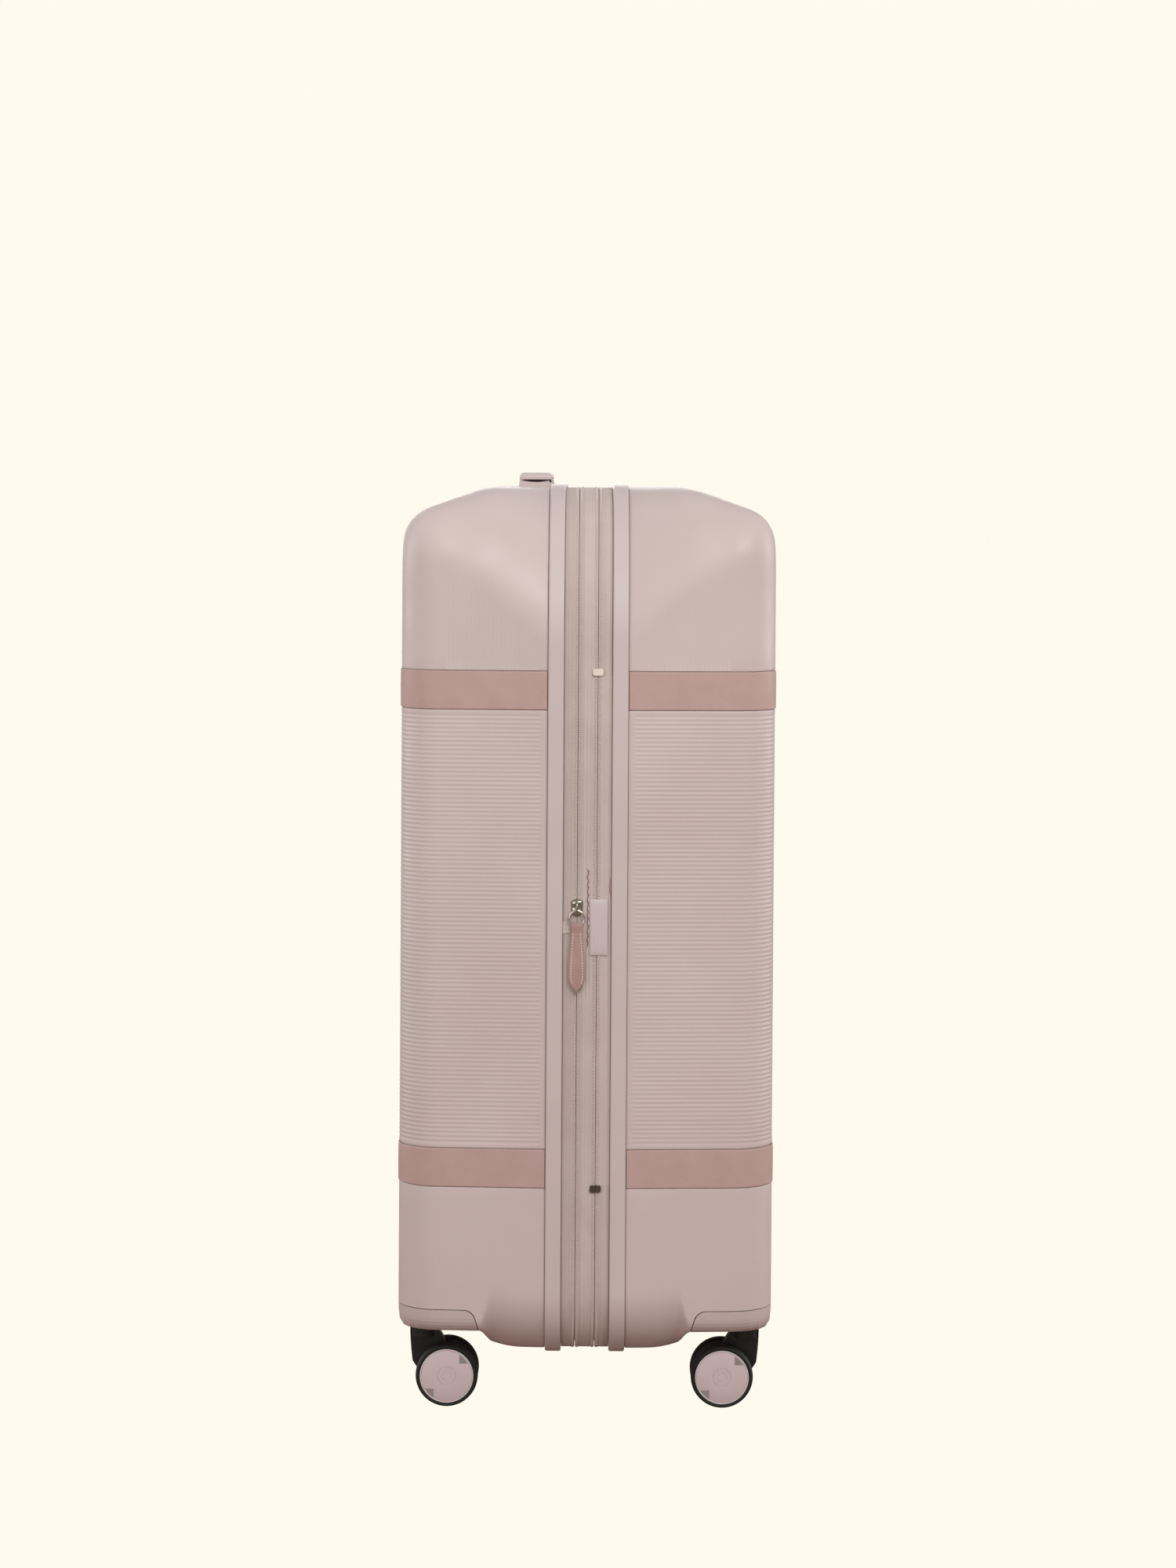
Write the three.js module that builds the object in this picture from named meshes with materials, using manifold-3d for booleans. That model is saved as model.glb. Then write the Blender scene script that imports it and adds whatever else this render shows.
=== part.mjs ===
// A large hard-shell travel case on four twin-wheel castors, with an expander zip, a main zip that
// doubles as the hinge, a telescopic pull handle, two carry handles and a combination lock.
//
// Millimetres, +Z up. Y runs from the front face (-Y) to the rear face (+Y), X across the case with
// the hinge side at -X and the lock side at +X. The origin is on the floor, under the middle of the
// whole object. Pieces are drawn in case coordinates, whose X = 0 is the middle of the two shells.

import * as THREE from 'three';
import { mergeVertices } from 'three/addons/utils/BufferGeometryUtils.js';
import Module from 'manifold-3d';

const wasm = await Module();
wasm.setup();

// ---------------------------------------------------------------- driving dimensions

// Shells. The height is measured up from the corner housings, the depth runs from face to face, and
// every other "run" is measured in from a face.
const shellWidth = 504;
const shellHeight = 674;
const shellDepth = 300;
const shellWall = 2.6;
const bellyDrop = 21;
const draftDeg = 3.5;
const faceRound = 35;
const topSlopeDeg = 20;
const topSlopeRun = 66;
const topKinkRadius = 60;
const topEdgeRadius = 32;
const lowerEdgeRadius = 8;
const topRadiusAtRim = 126;
const topRadiusOutside = 45;
const topRadiusAtFace = 24;
const topRadiusRun = 30;
const bellyRadius = 55;
const cornerRadius = 12;
const bellyCurveRun = 100;
const bellyStepRun = 76;
const bellyStepWidth = 10;
const bellySag = 4;
const cornerSegments = 6;

// Frame profiles, zip tapes and the expansion gusset.
const rimInnerY = 19.3;
const rimOuterY = 32;
const rimProud = 2.7;
const rimThickness = 7.7;
const rimLipDepth = 6;
const rimLipThickness = 1.6;
const rimLipClearance = 0.9;
const tapeInset = 1;
const tapeThickness = 2.2;
const tapeClearance = 0.3;
const expanderZipY = 8;
const mainZipY = -7.7;
const zipGap = 0.4;
const middleBandThickness = 4.2;
const gussetThickness = 1.2;
const gussetOverlap = 2.8;
const expansion = 35;

// Bands let into grooves round the shells.
const bandHeight = 30.5;
const upperBandDrop = 145.5;
const lowerBandRise = 138.5;
const grooveDepth = 1;
const bandUnderGap = 0.3;
const bandProud = 0.8;

// Castors, and the corner housings that hold them.
const castorHeadRoom = 14;
const castorInsetX = 45;
const castorInsetY = 20;
const castorTrail = 19.5;
const wheelRadius = 25;
const wheelWidth = 15;
const twinGap = 12;
const wheelEdge = 2;
const axleRadius = 3;
const forkWeb = 11;
const forkEye = 9;
const forkHeadRadius = 10.5;
const forkHeadHeight = 9.6;
const forkHeadSink = 2;
const stemRadius = 4.5;
const stemHeight = 15;
const runningClearance = 0.4;
const housingLength = 100;
const housingWidth = 63;
const housingHeight = 18.6;
const housingCorner = 10;
const housingSlantDeg = 16;
const housingFloor = 5;
const housingWall = 4;
const bossRadius = 11;
const bossRecess = 1;

// Telescopic handle.
const trolleyHalfSpan = 79;
const trolleyInset = 16;
const bayHalfWidth = 112;
const bayReach = 13;
const bayDepth = 74;
const bayWall = 2.5;
const innerTubeSize = [12, 9];
const tubeWall = 1.2;
const tubeSlack = 0.8;
const tubeHoleClearance = 0.5;
const guideRise = 6.5;
const middleTubeRise = 41.5;
const innerTubeRise = 13;
const middleTubeProud = 8;
const gripRise = 19;
const gripHeight = 23;
const gripBarHeight = 16;
const gripHalfLength = 100;
const gripWidth = 20;
const gripLegHalf = 13;
const gripEdge = 5;
const gripFillet = 8;
const gripButtonSize = [60, 12, 5.7];
const gripButtonProud = 1;
const gripButtonTravel = 3;

// Carry handles, on the top and on the lock side.
const handleHalfLength = 95;
const handleWidth = 27;
const handleHeight = 12;
const handleSplit = 5.8;
const handleMountLength = 35;
const handleMountInset = 2;
const handleMountSink = 5;
const handleLegSize = [8, 7];
const handleLegHeld = 4.8;
const handleLegClearance = 0.5;
const handleSocketRoom = 1;
const handleSocketFloor = 2;
const handleTravel = 16;
const handleNeckSize = [29, 13];
const handleNeckShift = 4;
const handleEdge = 3;
const handleArch = 1.6;
const topHandleOffset = 13;
const sideHandleOffset = 20;

// Lock on the front shell, beside the main zip.
const lockOffset = 17;
const lockFlange = [26, 92];
const lockNeck = [20, 86];
const lockDepth = 15;
const lockProud = 3.5;
const dialRadius = 7.5;
const dialThickness = 5.5;
const dialPitch = 9;
const dialFirst = -32;
const dialCount = 3;
const dialProud = 1.2;
const dialClearance = 0.4;
const lockButtonSize = [12, 14, 5];
const lockButtonOffset = 12;
const lockButtonProud = 1;
const lockButtonTravel = 2.5;

// Zip sliders, pullers, stops and the cover over the joint of the main zip.
const sliderWidth = 10.6;
const sliderNose = 7;
const sliderLength = 13.5;
const sliderBase = 2.6;
const sliderLift = 0.3;
const bailRadius = 0.8;
const bailHeight = 2.7;
const bailHalfSpan = 4.6;
const bailPost = 1.4;
const expanderSliderRise = 14.5;
const ringRadius = 6;
const ringWire = 0.7;
const ringDrop = 2.2;
const ringClearance = 0.25;
const strapPullWidth = 13.2;
const strapPullLength = 55;
const strapPullThickness = 2.2;
const strapPullPoint = 14;
const strapPullTip = 1.6;
const strapFoldThickness = 3.4;
const strapFoldLength = 5;
const strapFoldWidth = 9.6;
const strapFoldCover = 2.4;
const mainSliderOffset = 12;
const pullTabLength = 25;
const pullTabWidth = 7.5;
const pullTabThickness = 1.8;
const pullEyeRadius = 2.2;
const pullEyeLength = 5.5;
const pullEyeClearance = 0.3;
const stopSize = [1.6, 8.6, 5.6];
const stopDrop = 0.5;
const coverSize = [1.8, 14.3, 44.4];
const coverShift = 1.6;
const coverDrop = 1;
const notchClearance = 1;

// Lining and packing straps.
const liningClearance = 2.3;
const liningThickness = 1;
const liningRun = 4;
const liningGap = 1.5;
const webbingWidth = 25;
const webbingThickness = 1.5;
const webbingGap = 0.4;
const webbingDrop = 10;
const webbingRun = 30;
const webbingBend = 14;
const webbingTuck = 2.3;
const buckleHalf = 18;
const buckleHeight = 34;
const buckleThickness = 7;

// Gap between pieces that touch.
const seamGap = 0.3;

// ---------------------------------------------------------------- derived places

const cornerBottom = 2 * wheelRadius + castorHeadRoom;
const shellTop = cornerBottom + shellHeight;
const bellyBottom = cornerBottom - bellyDrop;
const faceY = shellDepth / 2;
const shellHalfWidth = shellWidth / 2;
const faceArcStart = faceY - faceRound;
const topFlatHalf = faceY - topSlopeRun;
const topRadiusSettlesY = faceY - topRadiusRun;
const bellyCurveStart = faceY - bellyCurveRun;
const bellyStepStart = faceY - bellyStepRun;
const bellyStepEnd = bellyStepStart + bellyStepWidth;
const shellStartY = rimOuterY + seamGap;
const slope = THREE.MathUtils.degToRad(topSlopeDeg);
const draft = Math.tan(THREE.MathUtils.degToRad(draftDeg));
const middleZ = (shellTop + bellyBottom) / 2;

const tapeHalfWidth = shellHalfWidth - tapeInset;
const upperBandTop = shellTop - upperBandDrop;
const lowerBandBottom = bellyBottom + lowerBandRise;
const expanderSliderZ = middleZ + expanderSliderRise;
const upperStopZ = upperBandTop - stopDrop;
const lowerStopZ = lowerBandBottom - stopDrop;
const coverY = mainZipY - coverShift;
const coverZ = middleZ - coverDrop;

const castorX = shellHalfWidth - castorInsetX;
const castorY = faceY - castorInsetY;
const housingTop = cornerBottom + housingHeight;

const trolleyY = faceY - trolleyInset;
const bayFrontY = trolleyY - bayReach;
const bayFloorZ = shellTop - bayDepth;
const guideBottom = cornerBottom + guideRise;
const middleTubeTop = bayFloorZ + middleTubeProud;
const middleTubeBottom = guideBottom + middleTubeRise;
const innerTubeBottom = middleTubeBottom + innerTubeRise;
const gripUnderside = bayFloorZ + gripRise;
const gripTop = gripUnderside + gripHeight;

const topHandleY = rimOuterY + topHandleOffset;
const sideHandleY = rimOuterY + sideHandleOffset;
const handleLegDepth = handleTravel + handleLegHeld - handleSplit;
const handleSocketDepth = handleLegDepth + handleSocketRoom;
const handleNeckDepth = handleSocketDepth + handleSocketFloor;

const lockY = -rimOuterY - lockOffset;
const liningInset = shellWall + rimLipClearance + rimLipThickness + liningClearance;
const liningStartY = rimOuterY + liningRun;

const carryReach = halfWidthAt(sideHandleY - handleWidth / 2, 0) + handleHeight;
const bailReach = tapeHalfWidth + sliderLift + sliderBase + bailHeight + bailRadius;
const caseCentreX = (bailReach - carryReach) / 2;

// ---------------------------------------------------------------- solids

function solidOf(geometry) {
  const bare = geometry.index ? geometry.toNonIndexed() : geometry.clone();
  bare.deleteAttribute('normal');
  bare.deleteAttribute('uv');
  const merged = mergeVertices(bare, 1e-4);
  const mesh = new wasm.Mesh({
    numProp: 3,
    vertProperties: new Float32Array(merged.attributes.position.array),
    triVerts: new Uint32Array(merged.index.array),
  });
  return new wasm.Manifold(mesh);
}

function geometryOf(solid) {
  const mesh = solid.getMesh();
  const geometry = new THREE.BufferGeometry();
  geometry.setAttribute('position', new THREE.BufferAttribute(mesh.vertProperties, 3));
  geometry.setIndex(new THREE.BufferAttribute(mesh.triVerts, 1));
  geometry.computeVertexNormals();
  return geometry;
}

// A box from its lowest to its highest corner.
function box(low, high) {
  const size = high.map((value, axis) => value - low[axis]);
  const geometry = new THREE.BoxGeometry(...size);
  geometry.translate(...low.map((value, axis) => value + size[axis] / 2));
  return solidOf(geometry);
}

function centredBox(centre, size) {
  const low = centre.map((value, axis) => value - size[axis] / 2);
  const high = centre.map((value, axis) => value + size[axis] / 2);
  return box(low, high);
}

// A cylinder along 'x', 'y' or 'z' from one coordinate on that axis to another.
function cylinder(axis, radius, from, to, centre, segments = 20) {
  const geometry = new THREE.CylinderGeometry(radius, radius, to - from, segments);
  if (axis === 'x') geometry.rotateZ(Math.PI / 2);
  if (axis === 'z') geometry.rotateX(Math.PI / 2);
  const place = new THREE.Vector3(...centre);
  place[axis] = (from + to) / 2;
  geometry.translate(place.x, place.y, place.z);
  return solidOf(geometry);
}

// A flat outline in X and Z, drawn out along Y from y0 to y1.
function extrudeAlongY(shape, y0, y1, curveSegments = 4) {
  const options = { depth: y1 - y0, bevelEnabled: false, curveSegments };
  const geometry = new THREE.ExtrudeGeometry(shape, options);
  geometry.rotateX(Math.PI / 2);
  geometry.translate(0, y1, 0);
  return solidOf(geometry);
}

// A flat outline in Y and Z, drawn out along X from x0 to x1.
function extrudeAlongX(shape, x0, x1, curveSegments = 4) {
  const options = { depth: x1 - x0, bevelEnabled: false, curveSegments };
  const geometry = new THREE.ExtrudeGeometry(shape, options);
  geometry.rotateX(Math.PI / 2);
  geometry.rotateZ(Math.PI / 2);
  geometry.translate(x0, 0, 0);
  return solidOf(geometry);
}

// A flat outline in X and Y, drawn out along Z from z0 to z1.
function extrudeAlongZ(shape, z0, z1, curveSegments = 4) {
  const options = { depth: z1 - z0, bevelEnabled: false, curveSegments };
  const geometry = new THREE.ExtrudeGeometry(shape, options);
  geometry.translate(0, 0, z0);
  return solidOf(geometry);
}

function roundedRectangle(halfWidth, halfHeight, radius) {
  const shape = new THREE.Shape();
  const x = halfWidth - radius;
  const y = halfHeight - radius;
  shape.absarc(x, y, radius, 0, Math.PI / 2);
  shape.absarc(-x, y, radius, Math.PI / 2, Math.PI);
  shape.absarc(-x, -y, radius, Math.PI, 1.5 * Math.PI);
  shape.absarc(x, -y, radius, 1.5 * Math.PI, 2 * Math.PI);
  return shape;
}

// A strip of constant thickness along a path of [x, y] points.
function ribbonShape(path, thickness) {
  const points = path.map(([x, y]) => new THREE.Vector2(x, y));
  const sides = [[], []];
  points.forEach((point, index) => {
    const before = points[Math.max(index - 1, 0)];
    const after = points[Math.min(index + 1, points.length - 1)];
    const along = after.clone().sub(before).normalize();
    const across = new THREE.Vector2(-along.y, along.x).multiplyScalar(thickness / 2);
    sides[0].push(point.clone().add(across));
    sides[1].unshift(point.clone().sub(across));
  });
  return new THREE.Shape([...sides[0], ...sides[1]]);
}

// ---------------------------------------------------------------- the shell's outer form

// Half the width at distance y from the middle plane, on a surface offset outwards.
function halfWidthAt(y, offset) {
  const drafted = shellHalfWidth - (Math.min(y, faceArcStart) - rimOuterY) * draft;
  if (y <= faceArcStart) return drafted + offset;
  const reach = Math.max((faceRound + offset) ** 2 - (y - faceArcStart) ** 2, 0);
  return drafted - faceRound + Math.sqrt(reach);
}

// The top: flat over the middle, sloping towards the face, then rounded over its edge.
function topAt(y, offset) {
  const slopeLine = (at) => shellTop - (at - topFlatHalf) * Math.tan(slope);
  const kinkY = topFlatHalf - topKinkRadius * Math.tan(slope / 2);
  const edgeY = faceY - topEdgeRadius;
  const edgeZ = slopeLine(edgeY) - topEdgeRadius / Math.cos(slope);
  const kinkReach = topKinkRadius + offset;
  const edgeReach = topEdgeRadius + offset;
  if (y <= kinkY) return shellTop + offset;
  if (y <= kinkY + kinkReach * Math.sin(slope)) {
    return shellTop - topKinkRadius + Math.sqrt(kinkReach ** 2 - (y - kinkY) ** 2);
  }
  if (y <= edgeY + edgeReach * Math.sin(slope)) return slopeLine(y) + offset / Math.cos(slope);
  return edgeZ + Math.sqrt(Math.max(edgeReach ** 2 - (y - edgeY) ** 2, 0));
}

// The underside: a shallow belly that steps up to the height of the castor housings.
function bottomAt(y, offset) {
  const edgeY = faceY - lowerEdgeRadius;
  if (y <= bellyCurveStart) return bellyBottom - offset;
  if (y <= bellyStepStart) {
    const share = (y - bellyCurveStart) / (bellyStepStart - bellyCurveStart);
    return bellyBottom + bellySag * share ** 2 - offset;
  }
  if (y <= edgeY) {
    const share = THREE.MathUtils.smoothstep(y, bellyStepStart, bellyStepEnd);
    const low = bellyBottom + bellySag;
    return low + (cornerBottom - low) * share - offset;
  }
  const reach = Math.max((lowerEdgeRadius + offset) ** 2 - (y - edgeY) ** 2, 0);
  return cornerBottom + lowerEdgeRadius - Math.sqrt(reach);
}

function topRadiusAt(y) {
  const { lerp, inverseLerp } = THREE.MathUtils;
  if (y <= topRadiusSettlesY) {
    return lerp(topRadiusAtRim, topRadiusOutside, inverseLerp(rimOuterY, topRadiusSettlesY, y));
  }
  return lerp(topRadiusOutside, topRadiusAtFace, inverseLerp(topRadiusSettlesY, faceY, y));
}

function bottomRadiusAt(y) {
  const share = THREE.MathUtils.smoothstep(y, bellyStepStart, bellyStepEnd);
  return THREE.MathUtils.lerp(bellyRadius, cornerRadius, share);
}

// The closed outline in X and Z at distance y from the middle plane.
function sectionAt(y, offset) {
  const halfWidth = halfWidthAt(y, offset);
  const top = topAt(y, offset);
  const bottom = bottomAt(y, offset);
  const limit = Math.min(y, faceY);
  const topRadius = topRadiusAt(limit) + offset;
  const bottomRadius = bottomRadiusAt(limit) + offset;
  const corners = [
    [halfWidth - topRadius, top - topRadius, topRadius, 0],
    [topRadius - halfWidth, top - topRadius, topRadius, 1],
    [bottomRadius - halfWidth, bottom + bottomRadius, bottomRadius, 2],
    [halfWidth - bottomRadius, bottom + bottomRadius, bottomRadius, 3],
  ];
  const points = [];
  for (const [x, z, radius, quarter] of corners) {
    for (let step = 0; step <= cornerSegments; step += 1) {
      const angle = (quarter + step / cornerSegments) * Math.PI / 2;
      points.push(new THREE.Vector2(x + radius * Math.cos(angle), z + radius * Math.sin(angle)));
    }
  }
  return points;
}

// Distances at which a half's outline is taken. Surfaces inside the wall are drawn more coarsely.
function stationsFrom(start, offset) {
  const inside = offset < -shellWall / 2;
  const slopeStart = topFlatHalf + topKinkRadius * Math.tan(slope / 2);
  const middle = [bellyCurveStart, slopeStart, (slopeStart + faceArcStart) / 2];
  for (const share of inside ? [0, 0.5, 1] : [0, 0.25, 0.5, 0.75, 1]) {
    middle.push(THREE.MathUtils.lerp(bellyStepStart, bellyStepEnd, share));
  }
  if (!inside) middle.push((bellyCurveStart + bellyStepStart) / 2);
  middle.sort((a, b) => a - b);
  const stations = [start, ...middle.filter((y) => y > start + 1)];
  for (const angle of inside ? [0, 30, 60, 90] : [0, 15, 30, 45, 60, 75, 90]) {
    stations.push(faceArcStart + (faceRound + offset) * Math.sin(THREE.MathUtils.degToRad(angle)));
  }
  return stations;
}

// The solid within the shell's surface moved outwards by offset, from y = start to the face.
// side is 1 for the rear half and -1 for the front half.
function halfForm(side, start, offset) {
  const rings = stationsFrom(start, offset).map((y) => ({ y, points: sectionAt(y, offset) }));
  const count = rings[0].points.length;
  const positions = [];
  for (const { y, points } of rings) {
    for (const point of points) positions.push(point.x, side * y, point.y);
  }
  const index = [];
  const face = (a, b, c) => index.push(...(side > 0 ? [a, b, c] : [a, c, b]));
  for (let ring = 0; ring < rings.length - 1; ring += 1) {
    for (let step = 0; step < count; step += 1) {
      const next = (step + 1) % count;
      const a = ring * count + step;
      const b = ring * count + next;
      face(a, a + count, b);
      face(b, a + count, b + count);
    }
  }
  const last = (rings.length - 1) * count;
  for (const [a, b, c] of THREE.ShapeUtils.triangulateShape(rings[0].points, [])) face(a, b, c);
  for (const [a, b, c] of THREE.ShapeUtils.triangulateShape(rings.at(-1).points, [])) {
    face(last + a, last + c, last + b);
  }
  const geometry = new THREE.BufferGeometry();
  geometry.setAttribute('position', new THREE.Float32BufferAttribute(positions, 3));
  geometry.setIndex(index);
  return solidOf(geometry);
}

// A ring of the opening's outline between two offsets, from y0 to y1.
function ringBetween(outerOffset, innerOffset, y0, y1) {
  const shape = new THREE.Shape(sectionAt(rimOuterY, outerOffset));
  shape.holes.push(new THREE.Path(sectionAt(rimOuterY, innerOffset)));
  return extrudeAlongY(shape, y0, y1);
}

// ---------------------------------------------------------------- carry handle, in its own frame

// Local axes: u along the handle, v across it, n out of the case. point() gives the place of [u, v, n] in
// case coordinates.
function handleFrame(kind) {
  if (kind === 'top') {
    return { kind, point: (u, v, n) => [u, topHandleY + v, shellTop + n] };
  }
  const surface = halfWidthAt(sideHandleY - handleWidth / 2, 0);
  return { kind, point: (u, v, n) => [surface + n, sideHandleY + v, middleZ + u] };
}

function frameBox(frame, low, high) {
  const a = frame.point(...low);
  const b = frame.point(...high);
  const lowest = a.map((value, axis) => Math.min(value, b[axis]));
  const highest = a.map((value, axis) => Math.max(value, b[axis]));
  return box(lowest, highest);
}

// Middle of each end mount along the handle.
const handleMountU = handleHalfLength - handleMountLength / 2 - handleMountInset;

function handleNeck(frame, end, grow) {
  const [length, width] = handleNeckSize.map((size) => size / 2 + grow);
  const u = end * handleMountU;
  const v = handleNeckShift;
  const low = [u - length, v - width, -handleNeckDepth - grow];
  return frameBox(frame, low, [u + length, v + width, handleSplit / 2]);
}

function carryMount(frame, end) {
  const u = end * handleMountU;
  const half = handleMountLength / 2;
  const across = handleWidth / 2;
  const [legU, legV] = handleLegSize.map((size) => size / 2 + handleLegClearance);
  const flange = frameBox(frame, [u - half, -across, -handleMountSink], [u + half, across, handleSplit]);
  const overRim = ringBetween(rimProud + seamGap, -handleNeckDepth, 0, shellStartY);
  const seated = flange.subtract(halfForm(1, shellStartY, seamGap)).subtract(overRim);
  const v = handleNeckShift;
  const socket = frameBox(
    frame, [u - legU, v - legV, -handleSocketDepth], [u + legU, v + legV, handleHeight]);
  return seated.add(handleNeck(frame, end, 0)).subtract(socket);
}

function carryGrip(frame) {
  const bottom = handleSplit + seamGap;
  const shape = new THREE.Shape();
  const reach = handleHalfLength;
  const archHalf = handleMountU - handleMountLength / 2 - handleMountInset;
  shape.moveTo(-reach, bottom);
  shape.lineTo(-reach, handleHeight - handleEdge);
  shape.absarc(-reach + handleEdge, handleHeight - handleEdge, handleEdge, Math.PI, Math.PI / 2, true);
  shape.absarc(reach - handleEdge, handleHeight - handleEdge, handleEdge, Math.PI / 2, 0, true);
  shape.lineTo(reach, bottom);
  shape.lineTo(archHalf, bottom);
  shape.quadraticCurveTo(0, bottom + handleArch, -archHalf, bottom);
  const legs = [-1, 1].map((end) => {
    const [legU, legV] = handleLegSize.map((size) => size / 2);
    const u = end * handleMountU;
    const v = handleNeckShift;
    return frameBox(
      frame, [u - legU, v - legV, -handleLegDepth], [u + legU, v + legV, bottom + 1]);
  });
  const half = handleWidth / 2;
  let bar = extrudeAlongY(shape, -half, half);
  if (frame.kind === 'top') {
    bar = bar.translate([0, topHandleY, shellTop]);
  } else {
    bar = bar.rotate([0, 90, 0]).translate(frame.point(0, 0, 0));
  }
  return bar.add(legs[0]).add(legs[1]);
}

// ---------------------------------------------------------------- cut-outs and clearances

const castorCorners = [
  { name: 'rear_left', x: -castorX, side: 1 },
  { name: 'rear_right', x: castorX, side: 1 },
  { name: 'front_left', x: -castorX, side: -1 },
  { name: 'front_right', x: castorX, side: -1 },
];

// One side of a castor housing's block: an outline from the housing's inner edge to past the shell,
// with a rounded upper corner and an edge that slants inwards on its way down.
function housingOutline(inner, outer, grow) {
  const slant = THREE.MathUtils.degToRad(housingSlantDeg);
  const radius = housingCorner + grow;
  const cornerAcross = inner + housingCorner;
  const cornerUp = housingTop - housingCorner;
  const arcEnd = [cornerAcross - radius * Math.cos(slant), cornerUp + radius * Math.sin(slant)];
  const outline = new THREE.Shape();
  outline.moveTo(outer, 0);
  outline.lineTo(outer, housingTop + grow);
  outline.lineTo(cornerAcross, housingTop + grow);
  outline.absarc(cornerAcross, cornerUp, radius, Math.PI / 2, Math.PI - slant);
  outline.lineTo(arcEnd[0] - arcEnd[1] * Math.tan(slant), 0);
  return outline;
}

// The block at one lower corner that a castor housing fills. grow makes it larger on every side.
function castorPocket({ x, side }, grow) {
  const alongY = housingOutline(faceY - housingWidth, shellDepth, grow);
  const alongX = housingOutline(shellHalfWidth - housingLength, shellWidth, grow);
  const block = extrudeAlongX(alongY, 0, shellWidth).intersect(extrudeAlongY(alongX, 0, shellDepth));
  return block.scale([Math.sign(x), side, 1]);
}

function bayBlock(grow) {
  const reach = bayHalfWidth + grow;
  return box([-reach, bayFrontY - grow, bayFloorZ - grow], [reach, shellDepth, shellTop + bayDepth]);
}

function lockNeckBlock(grow) {
  const surface = halfWidthAt(-lockY, 0);
  const [width, height] = lockNeck.map((size) => size / 2 + grow);
  const low = [surface - lockDepth - grow, lockY - width, middleZ - height];
  return box(low, [surface + lockProud / 2, lockY + width, middleZ + height]);
}

// The slab of space that a band's groove takes on one half.
function bandSlab({ bottom, top }, side, shrink) {
  const ys = [side * (shellStartY + shrink), side * shellDepth];
  const low = [-shellWidth, Math.min(...ys), bottom + shrink];
  return box(low, [shellWidth, Math.max(...ys), top - shrink]);
}

const bands = [
  { level: 'lower', bottom: lowerBandBottom, top: lowerBandBottom + bandHeight },
  { level: 'upper', bottom: upperBandTop - bandHeight, top: upperBandTop },
];

// ---------------------------------------------------------------- shells and what lines them

function shell(side) {
  const corners = castorCorners.filter((corner) => corner.side === side);
  let outside = halfForm(side, shellStartY, 0);
  let inside = halfForm(side, shellStartY - 5, -shellWall);
  for (const corner of corners) {
    outside = outside.subtract(castorPocket(corner, 0));
    inside = inside.subtract(castorPocket(corner, shellWall));
  }
  let body = outside.subtract(inside);
  const core = halfForm(side, rimInnerY, -grooveDepth);
  for (const level of bands) body = body.subtract(bandSlab(level, side, 0).subtract(core));
  if (side < 0) return body.subtract(lockNeckBlock(seamGap));
  body = body.subtract(bayBlock(bayWall + seamGap));
  for (const kind of ['top', 'side']) {
    for (const end of [-1, 1]) body = body.subtract(handleNeck(handleFrame(kind), end, seamGap));
  }
  return body;
}

function band(side, level) {
  const strip = halfForm(side, shellStartY, bandProud).intersect(bandSlab(level, side, seamGap));
  return strip.subtract(halfForm(side, rimInnerY, bandUnderGap - grooveDepth));
}

function rim(side) {
  const ys = (a, b) => (side > 0 ? [a, b] : [-b, -a]);
  const profile = ringBetween(rimProud, rimProud - rimThickness, ...ys(rimInnerY, rimOuterY));
  const lipOuter = -shellWall - rimLipClearance;
  const lipYs = ys(rimOuterY - rimLipThickness, rimOuterY + rimLipDepth);
  const lip = ringBetween(lipOuter, lipOuter - rimLipThickness, ...lipYs);
  return profile.add(lip);
}

// What stands behind the lining of one half, each grown by the same amount.
function hiddenBlocks(side, grow) {
  const corners = castorCorners.filter((corner) => corner.side === side);
  const blocks = corners.map((corner) => castorPocket(corner, shellWall + grow));
  if (side < 0) return [...blocks, lockNeckBlock(grow)];
  const tunnel = trolleyHalfSpan + tubeOuter(2)[0] / 2 + grow;
  const tunnelY = trolleyY - tubeOuter(2)[1] / 2 - grow;
  blocks.push(box([-tunnel, tunnelY, 0], [tunnel, shellDepth, bayFloorZ]), bayBlock(bayWall + grow));
  for (const kind of ['top', 'side']) {
    for (const end of [-1, 1]) blocks.push(handleNeck(handleFrame(kind), end, grow));
  }
  return blocks;
}

function lining(side) {
  let outside = halfForm(side, liningStartY, -liningInset);
  let inside = halfForm(side, liningStartY - 5, -liningInset - liningThickness);
  for (const block of hiddenBlocks(side, liningGap)) outside = outside.subtract(block);
  for (const block of hiddenBlocks(side, liningGap + liningThickness)) inside = inside.subtract(block);
  return outside.subtract(inside);
}

// ---------------------------------------------------------------- zip tapes and gusset

function zipTape(y0, y1, thickness) {
  return ringBetween(-tapeInset, -tapeInset - thickness, y0, y1);
}

// The front tape steps back round the stops and the cover, which stay with the middle band.
function frontTape() {
  let tape = zipTape(-rimInnerY + tapeClearance, mainZipY - zipGap / 2, tapeThickness);
  const inside = -tapeHalfWidth + tapeThickness + notchClearance;
  const notch = (y, z, size) => {
    const low = [-shellWidth, y - size[1] / 2 - seamGap, z - size[2] / 2 - notchClearance];
    return box(low, [inside, 0, z + size[2] / 2 + notchClearance]);
  };
  for (const z of [upperStopZ, lowerStopZ]) tape = tape.subtract(notch(mainZipY, z, stopSize));
  return tape.subtract(notch(coverY, coverZ, coverSize));
}

// The folded expansion fabric, sewn to the rear tape and nested inside the middle band.
function gusset() {
  const outer = -tapeInset - middleBandThickness - seamGap;
  const end = expanderZipY - expansion - gussetOverlap;
  return ringBetween(outer, outer - gussetThickness, end, rimInnerY - tapeClearance);
}

// ---------------------------------------------------------------- castors

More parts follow.
